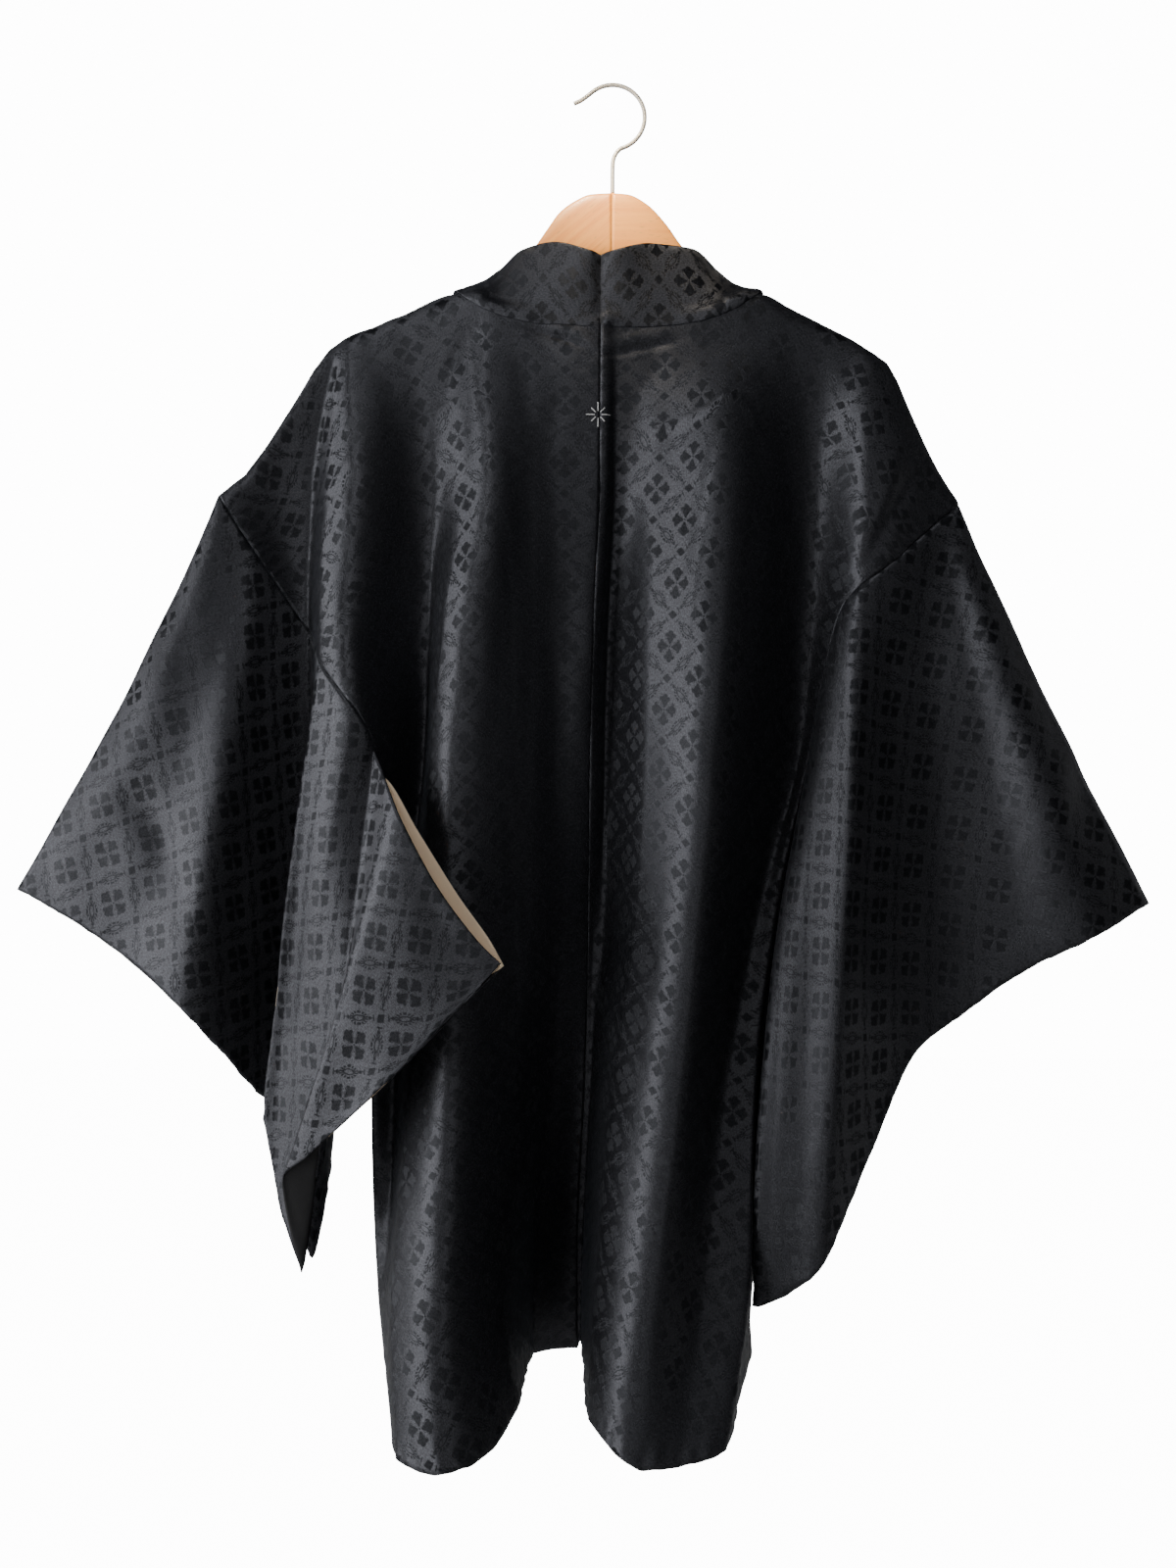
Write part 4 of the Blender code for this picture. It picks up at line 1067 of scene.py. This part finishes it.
def woven_figure(across, down):
    """A lattice of toothed leaves with a flower in each lozenge: 1 on the figure and 0 on its ground."""
    a, b = across / WEFT_PITCH, down / WARP_PITCH
    rising, falling = a + b, a - b
    on_rising, on_falling = offset_from_whole(rising), offset_from_whole(falling)
    by_rising, by_falling = offset_from_half(rising), offset_from_half(falling)
    half_weft, half_warp = WEFT_PITCH / 2, WARP_PITCH / 2
    edge = math.hypot(half_weft, half_warp)
    cos, sin = half_weft / edge, half_warp / edge
    blossom = flower((on_rising + on_falling) * half_weft, (on_rising - on_falling) * half_warp)
    x, y = (by_rising + on_falling) * half_weft, (by_rising - on_falling) * half_warp
    first = leaf(x * cos - y * sin, x * sin + y * cos)
    x, y = (on_rising + by_falling) * half_weft, (on_rising - by_falling) * half_warp
    second = leaf(x * cos + y * sin, y * cos - x * sin)
    square = abs(by_rising).most(abs(by_falling)) * edge - 2.7
    depth = blossom.least(first, second, square)
    return (depth * -1.6 + 0.5).clamped()


def new_material(name, values):
    """A material with its tree, and its shader with the given inputs set."""
    made = bpy.data.materials.new(name)
    made.use_nodes = True
    shader = made.node_tree.nodes["Principled BSDF"]
    for slot, value in values.items():
        shader.inputs[slot].default_value = value
    return made, made.node_tree, shader


def cut_place(tree):
    """Where a point lies on the cut cloth: as a vector in metres, and across and down it in millimetres."""
    cut = tree.nodes.new("ShaderNodeUVMap")
    cut.uv_map = "cloth"
    parts = tree.nodes.new("ShaderNodeSeparateXYZ")
    tree.links.new(cut.outputs["UV"], parts.inputs["Vector"])
    return cut.outputs["UV"], Value(tree, parts.outputs["X"]) * 1000, Value(tree, parts.outputs["Y"]) * 1000


def object_place(tree):
    return tree.nodes.new("ShaderNodeTexCoord").outputs["Object"]


def noise(tree, place, cells, detail=3.0, roughness=0.55):
    """Soft noise with about the given number of cells in a metre on each axis."""
    stretch = tree.nodes.new("ShaderNodeMapping")
    stretch.inputs["Scale"].default_value = cells
    tree.links.new(place, stretch.inputs["Vector"])
    made = tree.nodes.new("ShaderNodeTexNoise")
    made.inputs["Scale"].default_value = 1
    made.inputs["Detail"].default_value = detail
    made.inputs["Roughness"].default_value = roughness
    tree.links.new(stretch.outputs["Vector"], made.inputs["Vector"])
    return Value(tree, made.outputs["Fac"])


def mixed(tree, share, first, second):
    """A colour between two colours."""
    made = tree.nodes.new("ShaderNodeMix")
    made.data_type = "RGBA"
    tree.links.new(share.socket, made.inputs["Factor"])
    for slot, colour in ((made.inputs["A"], first), (made.inputs["B"], second)):
        if isinstance(colour, tuple):
            slot.default_value = (*colour, 1)
        else:
            tree.links.new(colour, slot)
    return made.outputs["Result"]


def bumped(tree, shader, height, distance, strength):
    made = tree.nodes.new("ShaderNodeBump")
    made.inputs["Strength"].default_value = strength
    made.inputs["Distance"].default_value = distance
    tree.links.new(height.socket, made.inputs["Height"])
    tree.links.new(made.outputs["Normal"], shader.inputs["Normal"])


def figured_silk():
    """Black silk: warp floats on its satin ground and weft floats on its figure, which shine apart."""
    made, tree, shader = new_material("figured_silk", SILK_FINISH)
    cut, across, down = cut_place(tree)
    slack = noise(tree, cut, (9, 9, 9), 1.0)
    figure = woven_figure(across + slack * 3.0, down + slack * 2.0)
    threads = noise(tree, cut, (1200, 520, 1), 2.0, 0.7)
    slubs = noise(tree, cut, (260, 1300, 1), 2.0)
    cloudy = noise(tree, cut, (14, 8, 1))
    grain = ((threads - 0.5) * 2.6 + (slubs - 0.5) * 1.0 + (cloudy - 0.5) * 0.5 + 1.0).most(0.25)
    tint = tree.nodes.new("ShaderNodeVectorMath")
    tint.operation = "SCALE"
    tree.links.new(mixed(tree, figure, GROUND_COLOUR, FIGURE_COLOUR), tint.inputs["Vector"])
    tree.links.new(grain.socket, tint.inputs["Scale"])
    tree.links.new(tint.outputs["Vector"], shader.inputs["Base Color"])
    sheen = (cloudy - 0.5) * 0.1 + (threads - 0.5) * 0.12
    rough = figure * (FIGURE_ROUGHNESS - GROUND_ROUGHNESS) + GROUND_ROUGHNESS + sheen
    tree.links.new(rough.socket, shader.inputs["Roughness"])
    tree.links.new((figure * -0.25 + 0.25).socket, shader.inputs["Anisotropic Rotation"])
    tangent = tree.nodes.new("ShaderNodeTangent")
    tangent.direction_type = "UV_MAP"
    tangent.uv_map = "cloth"
    tree.links.new(tangent.outputs["Tangent"], shader.inputs["Tangent"])
    bumped(tree, shader, figure * -0.25 + threads * 0.5 + slubs * 0.35, 0.0003, 0.55)
    return made


def lining_silk():
    """Cream plain-weave lining, with the black silk turned in along the cuffs and edges and spread far
    wider over it as painted shade inside the sleeves and the jacket.
    """
    made, tree, shader = new_material("lining_silk", {"Roughness": 0.55, "Specular IOR Level": 0.25})
    cut, across, down = cut_place(tree)
    threads = noise(tree, cut, (2200, 900, 1), 2.0)
    cloudy = noise(tree, cut, (18, 12, 1))
    # Black where the silk is turned in, and far past that as painted shade inside the sleeves and the
    # jacket
    facing_and_shade = (abs(across) - FACING_AND_SHADE_FROM).most(down - FACING_AND_SHADE_BELOW).clamped()
    cream = mixed(tree, threads * 0.6 + cloudy * 0.4, (0.88, 0.69, 0.48), (1.0, 0.82, 0.60))
    tree.links.new(mixed(tree, facing_and_shade, cream, FACING_AND_SHADE_COLOUR), shader.inputs["Base Color"])
    bumped(tree, shader, threads, 0.0002, 0.5)
    return made


def beech(name, slant, warmth, contrast):
    """Lacquered beech: long fine grain with the short dark flecks of its rays."""
    made, tree, shader = new_material(name, {"Coat Weight": 0.15, "Coat Roughness": 0.25})
    turn = tree.nodes.new("ShaderNodeMapping")
    turn.inputs["Rotation"].default_value = (0, slant, 0)
    tree.links.new(object_place(tree), turn.inputs["Vector"])
    along_grain = turn.outputs["Vector"]
    grain = noise(tree, along_grain, (14, 90, 260), 5.0, 0.65)
    bands = noise(tree, along_grain, (5, 20, 60), 2.0)
    flecks = noise(tree, along_grain, (160, 500, 1500), 1.0)
    light = tuple(channel * warmth for channel in (1.0, 0.43, 0.09))
    dark = tuple(channel * warmth for channel in (0.84, 0.28, 0.04))
    shade = (grain - 0.5) * contrast + (bands - 0.5) * 0.8 + 0.4
    body = mixed(tree, shade.clamped(), light, dark)
    fleck = ((flecks - 0.62) * 9).clamped()
    tree.links.new(mixed(tree, fleck * 0.45, body, (0.33, 0.17, 0.08)), shader.inputs["Base Color"])
    tree.links.new((grain * 0.16 + 0.34).socket, shader.inputs["Roughness"])
    bumped(tree, shader, grain * 0.6 + flecks * 0.4, 0.0003, 0.25)
    return made


def satin_wire():
    """Steel wire with a dull satin face."""
    made, tree, shader = new_material("brushed_wire", {"Metallic": 0.25})
    marks = noise(tree, object_place(tree), (60, 60, 60), 1.0)
    tree.links.new(mixed(tree, marks, (0.50, 0.46, 0.39), (0.60, 0.55, 0.47)), shader.inputs["Base Color"])
    tree.links.new((marks * 0.1 + 0.4).socket, shader.inputs["Roughness"])
    return made


def white_thread():
    """Twisted white silk thread."""
    made, tree, shader = new_material("white_thread", {"Roughness": 0.5})
    twist = noise(tree, object_place(tree), (3000, 3000, 3000), 1.0)
    tree.links.new(mixed(tree, twist, (0.5, 0.5, 0.5), (0.8, 0.8, 0.8)), shader.inputs["Base Color"])
    bumped(tree, shader, twist, 0.0001, 0.4)
    return made


def back_panel(half, walls):
    """A half of the back, from its neck and shoulder to its hem."""
    top = half.neck_seam[:-1] + half.shoulder + half.armhole[:1]
    return panel(f"back_{half.name}", (top, half.hem, CENTRE_SEAM, half.armhole + half.side), BACK, walls)


def front_panel(half, walls):
    """A front, from its shoulder to its hem."""
    top, side = half.shoulder + half.armhole[:1], half.front_armhole + half.front_side
    return panel(f"front_{half.name}", (top, half.front_hem, half.front_edge, side), FRONT, walls)


def sleeve(half, walls):
    """A sleeve's wall behind and its wall in front."""
    back_side, front_side = half.armhole + half.side, half.front_armhole + half.front_side
    sleeve_wall(f"sleeve_{half.name}_back", half.sleeve_back, BACK, back_side, walls)
    sleeve_wall(f"sleeve_{half.name}_front", half.sleeve_front, FRONT, front_side, walls)


def dress():
    """Every piece of the jacket and its hanger."""
    silk, lining = figured_silk(), lining_silk()
    walls, halves = (silk, lining), (LEFT, RIGHT)
    backs = [back_panel(half, walls) for half in halves]
    fronts = [front_panel(half, walls) for half in halves]
    for half, back, front in zip(halves, backs, fronts):
        gusset(half, back, front, walls)
    for half in halves:
        sleeve(half, walls)
    for half, back, front in zip(halves, backs, fronts):
        collar_half(half, back, front, silk)
    for half in halves:
        hanger_arm(half, beech(f"beech_{half.name}", *half.wood))
    hook(satin_wire())
    star(white_thread())


def softbox(box):
    """A soft rectangular light that faces its target."""
    light = bpy.data.lights.new(box.name, "AREA")
    light.shape = "RECTANGLE"
    light.size, light.size_y = box.size
    light.energy = box.power
    light.color = box.colour
    light.spread = math.radians(box.spread)
    lamp = placed(box.name, light)
    lamp.location = box.place
    lamp.rotation_euler = (Vector(box.target) - Vector(box.place)).to_track_quat("-Z", "Y").to_euler()


def seen_only(tree, shader, bright, output, share):
    """Shows the bright shader straight to the eye, while the plain one lights the scene."""
    path = tree.nodes.new("ShaderNodeLightPath")
    part = Value(tree, path.outputs["Is Camera Ray"]) * share
    mix = tree.nodes.new("ShaderNodeMixShader")
    tree.links.new(part.socket, mix.inputs["Fac"])
    tree.links.new(shader, mix.inputs[1])
    tree.links.new(bright, mix.inputs[2])
    tree.links.new(mix.outputs["Shader"], output.inputs["Surface"])


def pale_floor():
    """A white studio floor."""
    made, tree, shader = new_material("floor", {"Roughness": 0.8})
    mottle = noise(tree, object_place(tree), (3, 3, 3), 4.0)
    tree.links.new(mixed(tree, mottle, (0.80, 0.80, 0.79), (0.84, 0.84, 0.83)), shader.inputs["Base Color"])
    bright = tree.nodes.new("ShaderNodeEmission")
    bright.inputs["Color"].default_value = PALE
    bright.inputs["Strength"].default_value = BACKDROP_STRENGTH
    output = tree.nodes["Material Output"]
    seen_only(tree, shader.outputs["BSDF"], bright.outputs["Emission"], output, FLOOR_GLOW)
    mesh = bpy.data.meshes.new("floor")
    half = FLOOR_SIZE / 2
    corners = [(-half, -half, 0), (half, -half, 0), (half, half, 0), (-half, half, 0)]
    mesh.from_pydata(corners, [], [(0, 1, 2, 3)])
    mesh.materials.append(made)
    floor = placed("floor", mesh)
    floor.location.z = FLOOR_Z


def backdrop():
    """A white ground to the eye, which lights the scene only weakly."""
    world = bpy.data.worlds.new("studio")
    world.use_nodes = True
    tree = world.node_tree
    seen, dim = tree.nodes["Background"], tree.nodes.new("ShaderNodeBackground")
    seen.inputs["Color"].default_value = PALE
    seen.inputs["Strength"].default_value = BACKDROP_STRENGTH
    dim.inputs["Color"].default_value = (0.9, 0.93, 1, 1)
    dim.inputs["Strength"].default_value = WORLD_FILL
    output = tree.nodes["World Output"]
    seen_only(tree, dim.outputs["Background"], seen.outputs["Background"], output, 1.0)
    bpy.context.scene.world = world


def camera_behind():
    """The camera, level with the middle of the garment's back."""
    data = bpy.data.cameras.new("camera")
    data.lens = CAMERA_LENS
    camera = placed("camera", data)
    camera.location = CAMERA_PLACE
    camera.rotation_euler = (math.radians(90), 0, 0)
    bpy.context.scene.camera = camera


dress()
pale_floor()
for box in SOFTBOXES:
    softbox(box)
backdrop()
camera_behind()
